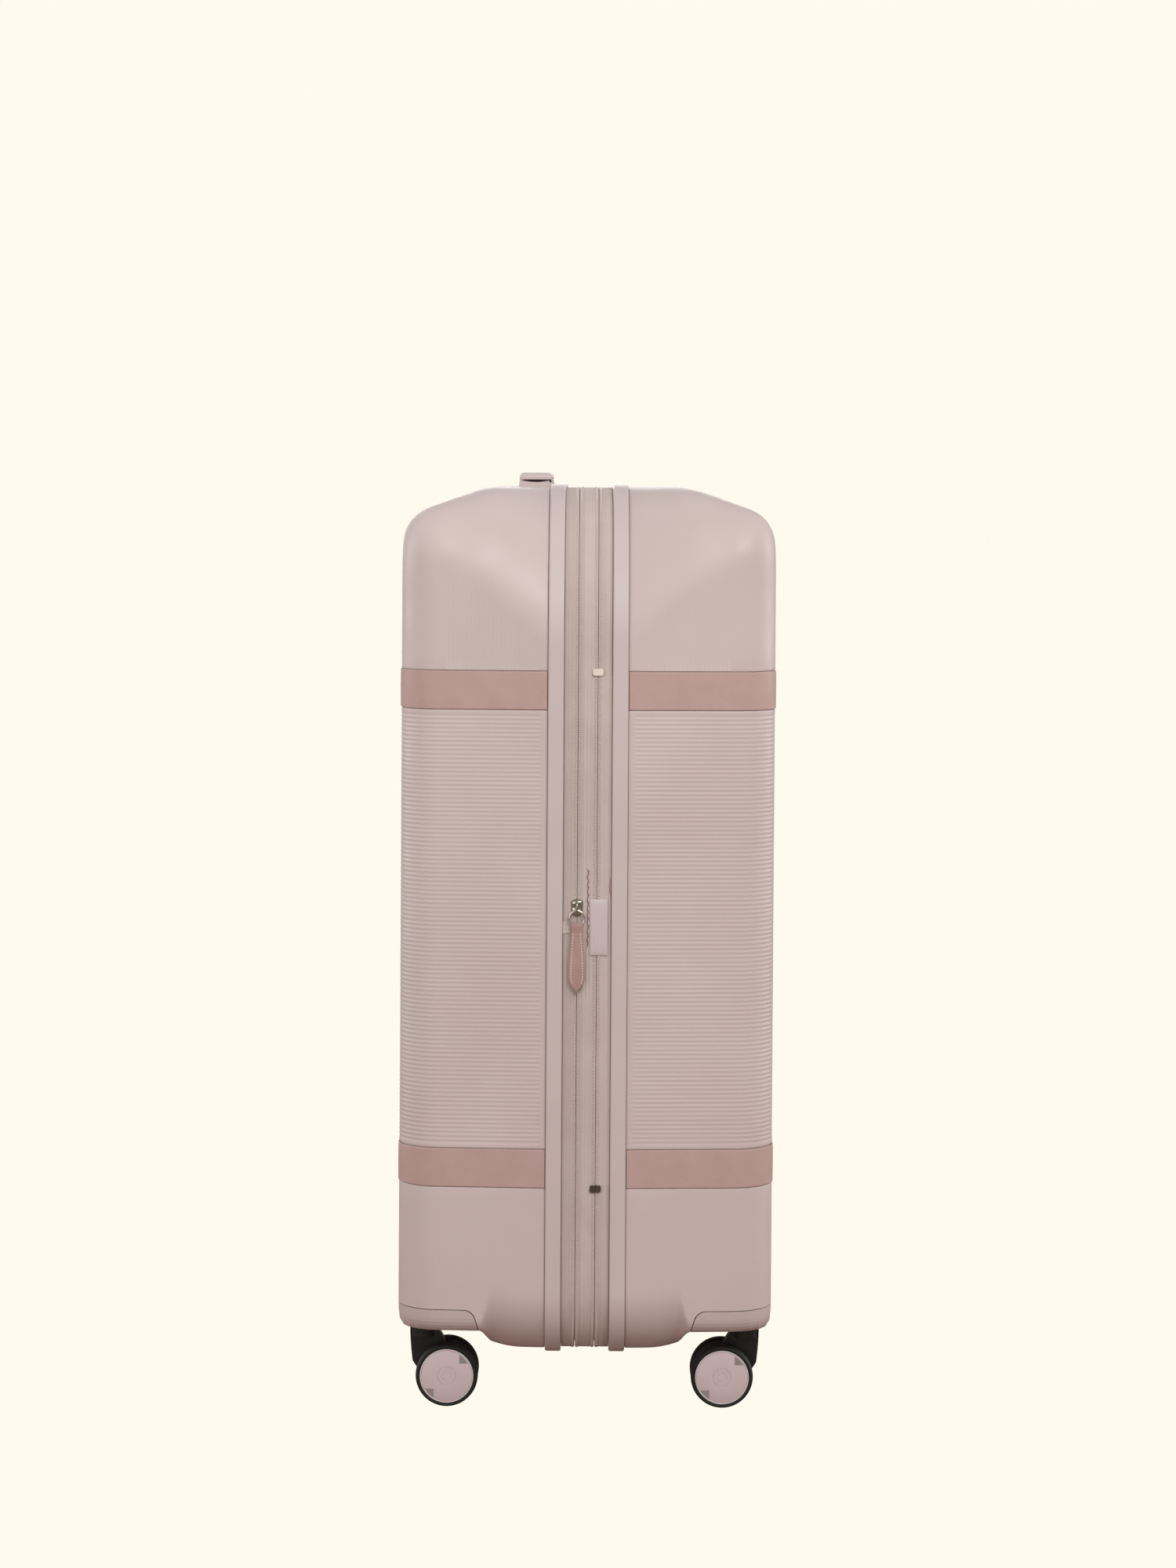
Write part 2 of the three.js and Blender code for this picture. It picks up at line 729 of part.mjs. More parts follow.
// A corner cover, hollow over its floor, with a boss that the castor's stem turns in.
function castorHousing(corner) {
  const { x, side } = corner;
  const place = [x, side * castorY, 0];
  const block = halfForm(side, shellStartY, 0).intersect(castorPocket(corner, -seamGap));
  const floor = box([-shellWidth, -shellDepth, 0], [shellWidth, shellDepth, cornerBottom + housingFloor]);
  const inner = castorPocket(corner, -seamGap - housingWall);
  const open = inner.add(inner.translate([0, 0, housingCorner]));
  const hollow = halfForm(side, shellStartY, -housingWall).intersect(open).subtract(floor);
  const boss = cylinder('z', bossRadius, cornerBottom + bossRecess, housingTop - seamGap, place);
  const bore = cylinder('z', stemRadius + runningClearance, 0, shellTop, place);
  return block.subtract(hollow).add(boss).subtract(bore);
}

// Swivel head, stem and the web that carries the axle, trailing towards the middle of the case.
function castorFork({ x, side }) {
  const headTop = cornerBottom - runningClearance;
  const axleY = castorY - castorTrail;
  const back = castorY + forkHeadRadius;
  const front = castorY - forkHeadRadius;
  const shoulder = headTop - forkHeadSink;
  const heelZ = wheelRadius + forkEye;
  const eyeZ = wheelRadius - forkEye;
  const eyeY = axleY - forkEye;
  const outline = new THREE.Shape();
  outline.moveTo(side * front, shoulder);
  outline.lineTo(side * back, shoulder);
  outline.quadraticCurveTo(side * back, wheelRadius * 2, side * (back - forkHeadSink), heelZ);
  outline.quadraticCurveTo(side * (axleY + forkEye * 2), eyeZ, side * axleY, eyeZ);
  outline.quadraticCurveTo(side * eyeY, eyeZ, side * eyeY, wheelRadius);
  outline.quadraticCurveTo(side * eyeY, heelZ, side * front, shoulder);
  const web = extrudeAlongX(outline, x - forkWeb / 2, x + forkWeb / 2, 5);
  const place = [x, side * castorY, 0];
  const head = cylinder('z', forkHeadRadius, headTop - forkHeadHeight, headTop, place);
  const stem = cylinder('z', stemRadius, headTop - forkHeadSink, cornerBottom + stemHeight, place);
  const centre = [x, side * axleY, wheelRadius];
  const hole = cylinder('x', axleRadius + runningClearance, x - forkWeb, x + forkWeb, centre);
  return web.add(head).add(stem).subtract(hole);
}

// Two wheels on one axle, as a turned profile about X.
function castorWheels({ x, side }) {
  const inner = twinGap / 2;
  const outer = inner + wheelWidth;
  const half = [
    [axleRadius, inner], [wheelRadius - wheelEdge, inner], [wheelRadius, inner + wheelEdge],
    [wheelRadius, outer - wheelEdge], [wheelRadius - wheelEdge, outer], [0, outer],
  ];
  const mirrored = half.slice(0, -1).reverse().map(([radius, along]) => [radius, -along]);
  const profile = [[0, -outer], ...mirrored, ...half];
  const points = profile.map(([radius, along]) => new THREE.Vector2(radius, along));
  const geometry = new THREE.LatheGeometry(points, 24);
  geometry.rotateZ(-Math.PI / 2);
  geometry.translate(x, side * (castorY - castorTrail), wheelRadius);
  return solidOf(geometry);
}

// ---------------------------------------------------------------- telescopic handle

// Outer size of the tube at one stage: 0 inner, 1 middle, 2 guide.
function tubeOuter(stage) {
  return innerTubeSize.map((size) => size + stage * 2 * (tubeWall + tubeSlack / 2));
}

function tubeAt(hand, stage, bottom, top) {
  const x = hand * trolleyHalfSpan;
  const [width, depth] = tubeOuter(stage);
  const height = top - bottom;
  const centre = [x, trolleyY, bottom + height / 2];
  const outside = centredBox(centre, [width, depth, height]);
  const inside = centredBox(centre, [width - 2 * tubeWall, depth - 2 * tubeWall, height + tubeWall]);
  return outside.subtract(inside);
}

function trolleyBay() {
  const outside = halfForm(1, shellStartY, 0).intersect(bayBlock(bayWall));
  let bay = outside.subtract(bayBlock(0));
  const [width, depth] = tubeOuter(1);
  for (const hand of [-1, 1]) {
    const centre = [hand * trolleyHalfSpan, trolleyY, bayFloorZ];
    const hole = [width + 2 * tubeHoleClearance, depth + 2 * tubeHoleClearance, 4 * bayWall];
    bay = bay.subtract(centredBox(centre, hole));
  }
  return bay;
}

function trolleyGrip() {
  const outline = new THREE.Shape();
  const barBottom = gripTop - gripBarHeight;
  const legIn = trolleyHalfSpan - gripLegHalf;
  const legOut = trolleyHalfSpan + gripLegHalf;
  outline.moveTo(-legOut, gripUnderside);
  outline.quadraticCurveTo(-gripHalfLength, gripUnderside, -gripHalfLength, barBottom + gripEdge);
  outline.lineTo(-gripHalfLength, gripTop - gripEdge);
  outline.quadraticCurveTo(-gripHalfLength, gripTop, -gripHalfLength + gripEdge, gripTop);
  outline.lineTo(gripHalfLength - gripEdge, gripTop);
  outline.quadraticCurveTo(gripHalfLength, gripTop, gripHalfLength, gripTop - gripEdge);
  outline.lineTo(gripHalfLength, barBottom + gripEdge);
  outline.quadraticCurveTo(gripHalfLength, gripUnderside, legOut, gripUnderside);
  outline.lineTo(legIn, gripUnderside);
  outline.quadraticCurveTo(legIn, barBottom, legIn - gripFillet, barBottom);
  outline.lineTo(-legIn + gripFillet, barBottom);
  outline.quadraticCurveTo(-legIn, barBottom, -legIn, gripUnderside);
  const bar = extrudeAlongY(outline, trolleyY - gripWidth / 2, trolleyY + gripWidth / 2);
  const [length, width, height] = gripButtonSize;
  const pocketFloor = gripTop + gripButtonProud - height - gripButtonTravel - seamGap;
  const [halfLength, halfWidth] = [length / 2 + seamGap, width / 2 + seamGap];
  const low = [-halfLength, trolleyY - halfWidth, pocketFloor];
  return bar.subtract(box(low, [halfLength, trolleyY + halfWidth, gripTop + gripHeight]));
}

function trolleyButton() {
  const middle = gripTop + gripButtonProud - gripButtonSize[2] / 2;
  return centredBox([0, trolleyY, middle], gripButtonSize);
}

// ---------------------------------------------------------------- lock

const lockSurface = halfWidthAt(-lockY - lockFlange[0] / 2, 0);
const lockFace = lockSurface + lockProud;
const dialX = lockFace + dialProud - dialRadius;
const dialPlaces = Array.from({ length: dialCount }, (_, index) => middleZ + dialFirst + index * dialPitch);
const lockButtonZ = middleZ + lockButtonOffset;

function lockHousing() {
  const [width, height] = lockFlange.map((size) => size / 2);
  const low = [lockSurface - dialRadius, lockY - width, middleZ - height];
  const flange = box(low, [lockFace, lockY + width, middleZ + height]);
  let body = flange.subtract(halfForm(-1, shellStartY, seamGap)).add(lockNeckBlock(0));
  const dialSlot = 2 * (dialRadius + dialClearance);
  for (const z of dialPlaces) {
    const slot = [dialSlot, dialSlot, dialThickness + 2 * dialClearance];
    body = body.subtract(centredBox([dialX, lockY, z], slot));
  }
  const [buttonWidth, buttonHeight, buttonDepth] = lockButtonSize;
  const pocketDepth = buttonDepth + lockButtonTravel + seamGap;
  const centre = [lockFace + lockButtonProud - pocketDepth / 2, lockY, lockButtonZ];
  const pocket = [pocketDepth, buttonWidth + 2 * seamGap, buttonHeight + 2 * seamGap];
  return body.subtract(centredBox(centre, pocket));
}

function lockDial(z) {
  return cylinder('z', dialRadius, z - dialThickness / 2, z + dialThickness / 2, [dialX, lockY, 0], 20);
}

function lockButton() {
  const [width, height, depth] = lockButtonSize;
  return centredBox([lockFace + lockButtonProud - depth / 2, lockY, lockButtonZ], [depth, width, height]);
}

// ---------------------------------------------------------------- zip sliders and pullers

// A slider on the tape's surface: a tapered body with an arched bail. hand is 1 on the lock side
// and -1 on the hinge side, and nose is 1 when the wide end points up.
function zipSlider(hand, y, z, nose) {
  const surface = tapeHalfWidth + sliderLift;
  const half = sliderLength / 2;
  const outline = new THREE.Shape();
  outline.moveTo(y - sliderNose / 2, z - nose * half);
  outline.lineTo(y + sliderNose / 2, z - nose * half);
  outline.quadraticCurveTo(y + sliderWidth / 2, z, y + sliderWidth / 2, z + nose * half);
  outline.lineTo(y - sliderWidth / 2, z + nose * half);
  outline.quadraticCurveTo(y - sliderWidth / 2, z, y - sliderNose / 2, z - nose * half);
  const x0 = hand > 0 ? surface : -surface - sliderBase;
  let slider = extrudeAlongX(outline, x0, x0 + sliderBase);
  const bailX = hand * (surface + sliderBase + bailHeight);
  const bail = cylinder('z', bailRadius, z - bailHalfSpan, z + bailHalfSpan, [bailX, y, 0], 10);
  slider = slider.add(bail);
  for (const end of [-1, 1]) {
    const xs = [hand * (surface + sliderBase / 2), bailX];
    const zs = [z + end * bailHalfSpan, z + end * (bailHalfSpan - bailPost)];
    const low = [Math.min(...xs), y - bailRadius, Math.min(...zs)];
    slider = slider.add(box(low, [Math.max(...xs), y + bailRadius, Math.max(...zs)]));
  }
  return slider;
}

// Height of the ring's and the bail's middle over the tape.
const ringX = tapeHalfWidth + sliderLift + sliderBase + (bailHeight - bailRadius) / 2;
const bailX = tapeHalfWidth + sliderLift + sliderBase + bailHeight;
const ringPivotZ = expanderSliderZ - ringDrop;

function ringSolid(wire, segments) {
  const geometry = new THREE.TorusGeometry(ringRadius, wire, 8, segments);
  geometry.rotateY(Math.PI / 2);
  geometry.translate(-ringX, expanderZipY, ringPivotZ - ringRadius);
  return solidOf(geometry);
}

// The leather strap: a fold round the ring above, a rounded point below.
function pullerStrap() {
  const top = ringPivotZ - 2 * ringRadius + strapFoldCover;
  const bottom = top - strapPullLength;
  const half = strapPullWidth / 2;
  const fold = strapFoldWidth / 2;
  const outline = new THREE.Shape();
  const shoulder = bottom + strapPullPoint;
  const round = bottom + strapFoldLength;
  outline.moveTo(-fold, top);
  outline.lineTo(-half, shoulder);
  outline.quadraticCurveTo(-half, round, -strapPullTip, bottom);
  outline.lineTo(strapPullTip, bottom);
  outline.quadraticCurveTo(half, round, half, shoulder);
  outline.lineTo(fold, top);
  const thickness = strapPullThickness / 2;
  const strap = extrudeAlongX(outline, -ringX - thickness, -ringX + thickness, 5)
    .translate([0, expanderZipY, 0]);
  const foldPlace = [-ringX, expanderZipY, top - strapFoldLength / 2];
  const foldBox = centredBox(foldPlace, [strapFoldThickness, strapFoldWidth, strapFoldLength]);
  return strap.add(foldBox).subtract(ringSolid(ringWire + ringClearance, 20));
}

// The metal tab of a main slider: an eye round the bail and a tab that points to the lock.
function pullTab(z) {
  const place = [bailX, mainZipY, 0];
  const eyeHalf = pullEyeLength / 2;
  const eye = cylinder('z', pullEyeRadius, z - eyeHalf, z + eyeHalf, place, 14);
  const half = pullTabWidth / 2;
  const tip = mainZipY - pullTabLength;
  const neck = mainZipY - 2 * pullEyeRadius;
  const outline = new THREE.Shape();
  outline.moveTo(mainZipY - bailRadius, z + eyeHalf);
  outline.lineTo(neck, z + half);
  outline.lineTo(tip + half, z + half);
  outline.absarc(tip + half, z, half, Math.PI / 2, 1.5 * Math.PI);
  outline.lineTo(neck, z - half);
  outline.lineTo(mainZipY - bailRadius, z - eyeHalf);
  const tab = extrudeAlongX(outline, bailX - pullTabThickness / 2, bailX + pullTabThickness / 2);
  const hole = cylinder('z', bailRadius + pullEyeClearance, z - pullTabWidth, z + pullTabWidth, place, 12);
  return eye.add(tab).subtract(hole);
}

function onTapeBox(size, y, z) {
  const middleX = -(tapeHalfWidth + seamGap + size[0] / 2);
  return centredBox([middleX, y, z], size);
}

// ---------------------------------------------------------------- packing straps

const tunnelEdgeX = trolleyHalfSpan + tubeOuter(2)[0] / 2 + liningGap + liningThickness;
const tunnelFaceY = trolleyY - tubeOuter(2)[1] / 2 - liningGap - liningThickness;
const webbingLift = webbingThickness / 2 + webbingGap;
const webbingZ = middleZ - webbingDrop;

// Webbing that follows the lining from the side wall to the buckle.
function packingStrap(hand) {
  const inset = liningInset + liningThickness + webbingLift;
  const bend = faceRound - inset;
  const path = [0, 0.5, 1].map((share) => {
    const y = THREE.MathUtils.lerp(rimOuterY + webbingRun, faceArcStart - webbingThickness, share);
    return [halfWidthAt(y, -inset), y];
  });
  const arcX = halfWidthAt(faceArcStart, 0) - faceRound;
  for (const angle of [Math.PI / 6, Math.PI / 3, Math.PI / 2]) {
    path.push([arcX + bend * Math.cos(angle), faceArcStart + bend * Math.sin(angle)]);
  }
  path.push([tunnelEdgeX + webbingBend, faceY - inset]);
  path.push([tunnelEdgeX + webbingLift + webbingThickness, faceY - inset - liningGap - webbingTuck]);
  path.push([tunnelEdgeX + webbingLift, tunnelFaceY - webbingLift]);
  path.push([buckleHalf + seamGap, tunnelFaceY - webbingLift]);
  const placed = path.map(([x, y]) => [hand * x, y]);
  const half = webbingWidth / 2;
  return extrudeAlongZ(ribbonShape(placed, webbingThickness), webbingZ - half, webbingZ + half);
}

function strapBuckle() {
  const shape = roundedRectangle(buckleHalf, buckleHeight / 2, buckleThickness / 2);
  const back = tunnelFaceY - webbingGap;
  return extrudeAlongY(shape, back - buckleThickness, back, 3).translate([0, 0, webbingZ]);
}

// ---------------------------------------------------------------- finishes

const finish = {
  shell: { color: 0xc9b8b4, roughness: 0.48, metalness: 0 },
  rim: { color: 0xc8b8b4, roughness: 0.45, metalness: 0 },
  band: { color: 0xb49088, roughness: 0.6, metalness: 0 },
  tape: { color: 0xc1afaa, roughness: 0.9, metalness: 0 },
  castor: { color: 0xb9a49d, roughness: 0.5, metalness: 0 },
  black: { color: 0x121210, roughness: 0.6, metalness: 0 },
  wheel: { color: 0xbaa6a3, roughness: 0.5, metalness: 0 },
  nickel: { color: 0xb8b2a8, roughness: 0.25, metalness: 1 },
  leather: { color: 0xac8e84, roughness: 0.65, metalness: 0 },
  tube: { color: 0xb9b9bb, roughness: 0.35, metalness: 1 },
  lining: { color: 0xd8c9c2, roughness: 0.95, metalness: 0 },
  cover: { color: 0xc9b9b6, roughness: 0.55, metalness: 0 },
};

// ---------------------------------------------------------------- assembly

const group = new THREE.Group();
group.position.x = caseCentreX;

function add(name, solid, look) {
  const mesh = new THREE.Mesh(geometryOf(solid), new THREE.MeshStandardMaterial(finish[look]));
  mesh.name = name;
  group.add(mesh);
}

for (const [half, side] of [['rear', 1], ['front', -1]]) {
  add(`${half}_shell`, shell(side), 'shell');
  add(`${half}_rim`, rim(side), 'rim');
  for (const level of bands) add(`${half}_band_${level.level}`, band(side, level), 'band');
  add(`${half}_lining`, lining(side), 'lining');
}

const bandRear = expanderZipY - zipGap / 2;
const bandFront = mainZipY + zipGap / 2;
add('rear_zip_tape', zipTape(expanderZipY + zipGap / 2, rimInnerY - tapeClearance, tapeThickness), 'tape');
add('middle_zip_band', zipTape(bandFront, bandRear, middleBandThickness), 'tape');
add('expansion_gusset', gusset(), 'tape');
add('front_zip_tape', frontTape(), 'tape');

for (const corner of castorCorners) {
  add(`castor_housing_${corner.name}`, castorHousing(corner), 'castor');
  add(`castor_fork_${corner.name}`, castorFork(corner), 'black');
  add(`castor_wheels_${corner.name}`, castorWheels(corner), 'wheel');
}

add('trolley_bay', trolleyBay(), 'black');
for (const [hand, name] of [[-1, 'left'], [1, 'right']]) {
  add(`trolley_guide_${name}`, tubeAt(hand, 2, guideBottom, bayFloorZ - bayWall - seamGap), 'tube');
  add(`trolley_middle_tube_${name}`, tubeAt(hand, 1, middleTubeBottom, middleTubeTop), 'tube');
  add(`trolley_inner_tube_${name}`, tubeAt(hand, 0, innerTubeBottom, gripUnderside - seamGap), 'tube');
}
add('trolley_grip', trolleyGrip(), 'black');
add('trolley_button', trolleyButton(), 'rim');

for (const kind of ['top', 'side']) {
  const frame = handleFrame(kind);
  add(`${kind}_handle_grip`, carryGrip(frame), 'rim');
  add(`${kind}_handle_mount_a`, carryMount(frame, -1), 'rim');
  add(`${kind}_handle_mount_b`, carryMount(frame, 1), 'rim');
}

add('lock_housing', lockHousing(), 'castor');
dialPlaces.forEach((z, index) => add(`lock_dial_${index + 1}`, lockDial(z), 'nickel'));
add('lock_button', lockButton(), 'rim');

add('expander_slider', zipSlider(-1, expanderZipY, expanderSliderZ, 1), 'nickel');
add('expander_ring', ringSolid(ringWire, 20), 'nickel');
add('expander_puller', pullerStrap(), 'leather');
for (const [name, hand] of [['upper', 1], ['lower', -1]]) {
  const z = middleZ + hand * mainSliderOffset;
  add(`main_slider_${name}`, zipSlider(1, mainZipY, z, hand), 'nickel');
  add(`main_puller_${name}`, pullTab(z), 'nickel');
}
add('zip_stop_upper', onTapeBox(stopSize, mainZipY, upperStopZ), 'nickel');
add('zip_stop_lower', onTapeBox(stopSize, mainZipY, lowerStopZ), 'nickel');
add('zip_joint_cover', onTapeBox(coverSize, coverY, coverZ), 'cover');

add('packing_strap_left', packingStrap(-1), 'tape');
add('packing_strap_right', packingStrap(1), 'tape');
add('strap_buckle', strapBuckle(), 'black');

export default group;
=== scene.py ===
"""Looks of a large hard-shell travel case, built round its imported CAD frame.

Shapes below are written in millimetres in case coordinates: +Z up, -Y the front face, -X the hinge
side, and X = 0 in the middle of the shells. mesh_piece() turns them into metres of the row frame.
"""

import math

import bmesh
import bpy
import numpy as np
from mathutils import Matrix, Vector


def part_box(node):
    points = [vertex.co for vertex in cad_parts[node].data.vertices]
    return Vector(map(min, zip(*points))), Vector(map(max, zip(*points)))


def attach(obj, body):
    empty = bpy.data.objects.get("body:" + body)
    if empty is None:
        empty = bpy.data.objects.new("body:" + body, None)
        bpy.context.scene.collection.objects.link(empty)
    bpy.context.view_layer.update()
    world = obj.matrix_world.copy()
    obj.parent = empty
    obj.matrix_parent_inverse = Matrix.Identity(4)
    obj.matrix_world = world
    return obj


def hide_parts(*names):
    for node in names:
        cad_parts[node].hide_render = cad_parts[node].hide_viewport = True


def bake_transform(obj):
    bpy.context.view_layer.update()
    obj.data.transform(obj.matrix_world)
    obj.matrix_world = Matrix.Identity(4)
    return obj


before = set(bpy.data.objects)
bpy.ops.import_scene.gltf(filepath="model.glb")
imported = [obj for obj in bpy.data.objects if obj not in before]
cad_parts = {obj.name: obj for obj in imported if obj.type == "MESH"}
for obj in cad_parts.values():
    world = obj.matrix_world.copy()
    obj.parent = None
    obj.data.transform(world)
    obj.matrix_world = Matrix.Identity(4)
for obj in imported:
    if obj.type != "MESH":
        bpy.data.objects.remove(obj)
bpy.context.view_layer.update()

MM = 0.001

# ------------------------------------------------------------------ places taken from the frame

CASE_X = sum(corner.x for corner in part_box("front_shell")) / 2 / MM


def box_mm(node):
    """A CAD node's lowest and highest corner in case coordinates."""
    low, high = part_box(node)
    return tuple(np.array(corner) / MM - (CASE_X, 0, 0) for corner in (low, high))


SHELL_LOW, SHELL_HIGH = box_mm("rear_shell")
RIM_LOW, RIM_HIGH = box_mm("rear_rim")
HALF_WIDTH, FACE_Y, SHELL_TOP = SHELL_HIGH
BELLY_BOTTOM = SHELL_LOW[2]
SHELL_START = SHELL_LOW[1]
RIM_INNER, RIM_LIP_END = RIM_LOW[1], RIM_HIGH[1]
RIM_PROUD = RIM_HIGH[2] - SHELL_TOP
SEAM = 0.3
RIM_OUTER = SHELL_START - SEAM
BANDS = {level: [corner[2] for corner in box_mm(f"rear_band_{level}")] for level in ("lower", "upper")}
HOUSING_LOW, HOUSING_HIGH = box_mm("castor_housing_rear_right")
CORNER_BOTTOM = HOUSING_LOW[2]
STOP_UPPER, STOP_LOWER = box_mm("zip_stop_upper"), box_mm("zip_stop_lower")
COVER_LOW, COVER_HIGH = box_mm("zip_joint_cover")
BAND_TAPE_LOW, BAND_TAPE_HIGH = box_mm("middle_zip_band")
MAIN_ZIP_Y = (BAND_TAPE_LOW[1] + box_mm("front_zip_tape")[1][1]) / 2
EXPANDER_ZIP_Y = (BAND_TAPE_HIGH[1] + box_mm("rear_zip_tape")[0][1]) / 2
TAPE_HALF_WIDTH = BAND_TAPE_HIGH[0]
SIDES = {"rear": 1, "front": -1}
CORNERS = [f"{end}_{hand}" for end in SIDES for hand in ("left", "right")]

# ------------------------------------------------------------------ shape of the case

WALL = 2.6
DRAFT = math.tan(math.radians(3.5))
FACE_ROUND = 35
SLOPE = math.radians(20)
TOP_FLAT_HALF = FACE_Y - 66
TOP_KINK_RADIUS = 60
TOP_EDGE_RADIUS = 32
LOWER_EDGE_RADIUS = 8
TOP_RADII = ((RIM_OUTER, 126), (FACE_Y - 30, 45), (FACE_Y, 24))
BELLY_RADIUS, CORNER_RADIUS = 55, 12
BELLY_CURVE_START = FACE_Y - 100
BELLY_STEP_START = FACE_Y - 76
BELLY_STEP_END = BELLY_STEP_START + 10
BELLY_SAG = 4
ARC_START = FACE_Y - FACE_ROUND


def smooth(low, high, value):
    share = np.clip((value - low) / (high - low), 0, 1)
    return share * share * (3 - 2 * share)


def half_width_at(y, offset=0.0):
    drafted = HALF_WIDTH - (min(y, ARC_START) - RIM_OUTER) * DRAFT
    if y <= ARC_START:
        return drafted + offset
    reach = max((FACE_ROUND + offset) ** 2 - (y - ARC_START) ** 2, 0)
    return drafted - FACE_ROUND + math.sqrt(reach)


def top_at(y, offset=0.0):
    def line(at):
        return SHELL_TOP - (at - TOP_FLAT_HALF) * math.tan(SLOPE)
    kink_y = TOP_FLAT_HALF - TOP_KINK_RADIUS * math.tan(SLOPE / 2)
    edge_y = FACE_Y - TOP_EDGE_RADIUS
    edge_z = line(edge_y) - TOP_EDGE_RADIUS / math.cos(SLOPE)
    kink_reach, edge_reach = TOP_KINK_RADIUS + offset, TOP_EDGE_RADIUS + offset
    if y <= kink_y:
        return SHELL_TOP + offset
    if y <= kink_y + kink_reach * math.sin(SLOPE):
        return SHELL_TOP - TOP_KINK_RADIUS + math.sqrt(kink_reach ** 2 - (y - kink_y) ** 2)
    if y <= edge_y + edge_reach * math.sin(SLOPE):
        return line(y) + offset / math.cos(SLOPE)
    return edge_z + math.sqrt(max(edge_reach ** 2 - (y - edge_y) ** 2, 0))


def bottom_at(y, offset=0.0):
    edge_y = FACE_Y - LOWER_EDGE_RADIUS
    if y <= edge_y:
        share = max(y - BELLY_CURVE_START, 0) / (BELLY_STEP_START - BELLY_CURVE_START)
        low = BELLY_BOTTOM + BELLY_SAG * min(share, 1) ** 2
        return low + (CORNER_BOTTOM - low) * smooth(BELLY_STEP_START, BELLY_STEP_END, y) - offset
    reach = max((LOWER_EDGE_RADIUS + offset) ** 2 - (y - edge_y) ** 2, 0)
    return CORNER_BOTTOM + LOWER_EDGE_RADIUS - math.sqrt(reach)


def top_radius_at(y):
    return float(np.interp(y, *zip(*TOP_RADII)))


def bottom_radius_at(y):
    return BELLY_RADIUS + (CORNER_RADIUS - BELLY_RADIUS) * smooth(BELLY_STEP_START, BELLY_STEP_END, y)


# ------------------------------------------------------------------ mesh helpers

def mesh_piece(name, parts, material, body=None, replaces=(), auto_smooth=40):
    """One object from (points, faces) parts in case millimetres, with normals made to point out."""
    points, faces, start = [], [], 0
    for part_points, part_faces in parts:
        points.append(part_points)
        faces += [[index + start for index in face] for face in part_faces]
        start += len(part_points)
    mesh = bpy.data.meshes.new(name)
    mesh.from_pydata(((np.vstack(points) + (CASE_X, 0, 0)) * MM).tolist(), [], faces)
    work = bmesh.new()
    work.from_mesh(mesh)
    bmesh.ops.recalc_face_normals(work, faces=work.faces)
    work.to_mesh(mesh)
    work.free()
    piece = bpy.data.objects.new(name, mesh)
    bpy.context.scene.collection.objects.link(piece)
    mesh.materials.append(material)
    mesh.shade_smooth()
    if auto_smooth < 180:
        mesh.set_sharp_from_angle(angle=math.radians(auto_smooth))
    if body:
        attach(piece, body)
    if replaces:
        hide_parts(*replaces)
    return piece


def part_of(piece):
    """A made object's mesh as a (points, faces) part. The object goes."""
    points = np.array([vertex.co for vertex in piece.data.vertices]) / MM - (CASE_X, 0, 0)
    faces = [list(polygon.vertices) for polygon in piece.data.polygons]
    bpy.data.objects.remove(piece)
    return points, faces


def apply_modifiers(piece):
    graph = bpy.context.evaluated_depsgraph_get()
    made = bpy.data.meshes.new_from_object(piece.evaluated_get(graph), depsgraph=graph)
    piece.modifiers.clear()
    piece.data = made


def combine(piece, tool, operation):
    """Cuts a piece by a tool, or keeps what both share. The tool goes."""
    boolean = piece.modifiers.new("combine", "BOOLEAN")
    boolean.object, boolean.operation, boolean.solver = tool, operation, "EXACT"
    apply_modifiers(piece)
    bpy.data.objects.remove(tool)


def grid_faces(rows, columns, closed_rows=False, closed_columns=False, start=0):
    faces = []
    for row in range(rows if closed_rows else rows - 1):
        for column in range(columns if closed_columns else columns - 1):
            here, below = start + row * columns, start + (row + 1) % rows * columns
            after = (column + 1) % columns
            faces.append([here + column, here + after, below + after, below + column])
    return faces


def loft(rings, closed=False):
    """A skin over equal rings of points. Unless it closes on itself, a flat face shuts each end."""
    rows, count = len(rings), len(rings[0])
    faces = grid_faces(rows, count, closed, True)
    if not closed:
        faces += [list(range(count)), list(range((rows - 1) * count, rows * count))]
    return np.vstack(rings), faces


def layers(under, over):
    """A thin solid between two grids of points with the same rows and columns."""
    rows, columns = under.shape[:2]
    grid = rows * columns
    faces = grid_faces(rows, columns) + grid_faces(rows, columns, start=grid)
    loop = [*range(columns), *[row * columns + columns - 1 for row in range(1, rows)],
            *[(rows - 1) * columns + column for column in range(columns - 2, -1, -1)],
            *[row * columns for row in range(rows - 2, 0, -1)]]
    for at, after in zip(loop, loop[1:] + loop[:1]):
        faces.append([at, after, after + grid, at + grid])
    return np.vstack([under.reshape(-1, 3), over.reshape(-1, 3)]), faces


def sweep(path, normals, profile, along, closed, side=1):
    """A closed profile of (offset, along) points carried along a flat path.

    along is "y" for a path in X and Z, and "z" for a path in X and Y. side mirrors Y.
    """
    profile = np.asarray(profile, float)
    flat = path[:, None, :] + normals[:, None, :] * profile[None, :, :1]
    far = np.broadcast_to(profile[None, :, 1], flat.shape[:2])
    if along == "y":
        rings = np.stack([flat[..., 0], side * far, flat[..., 1]], -1)
    else:
        rings = np.stack([flat[..., 0], side * flat[..., 1], far], -1)
    return loft(rings, closed)


def arc(centre, radius, start, end, steps):
    angles = np.radians(np.linspace(start, end, steps + 1))
    return np.stack([centre[0] + radius * np.cos(angles), centre[1] + radius * np.sin(angles)], -1)


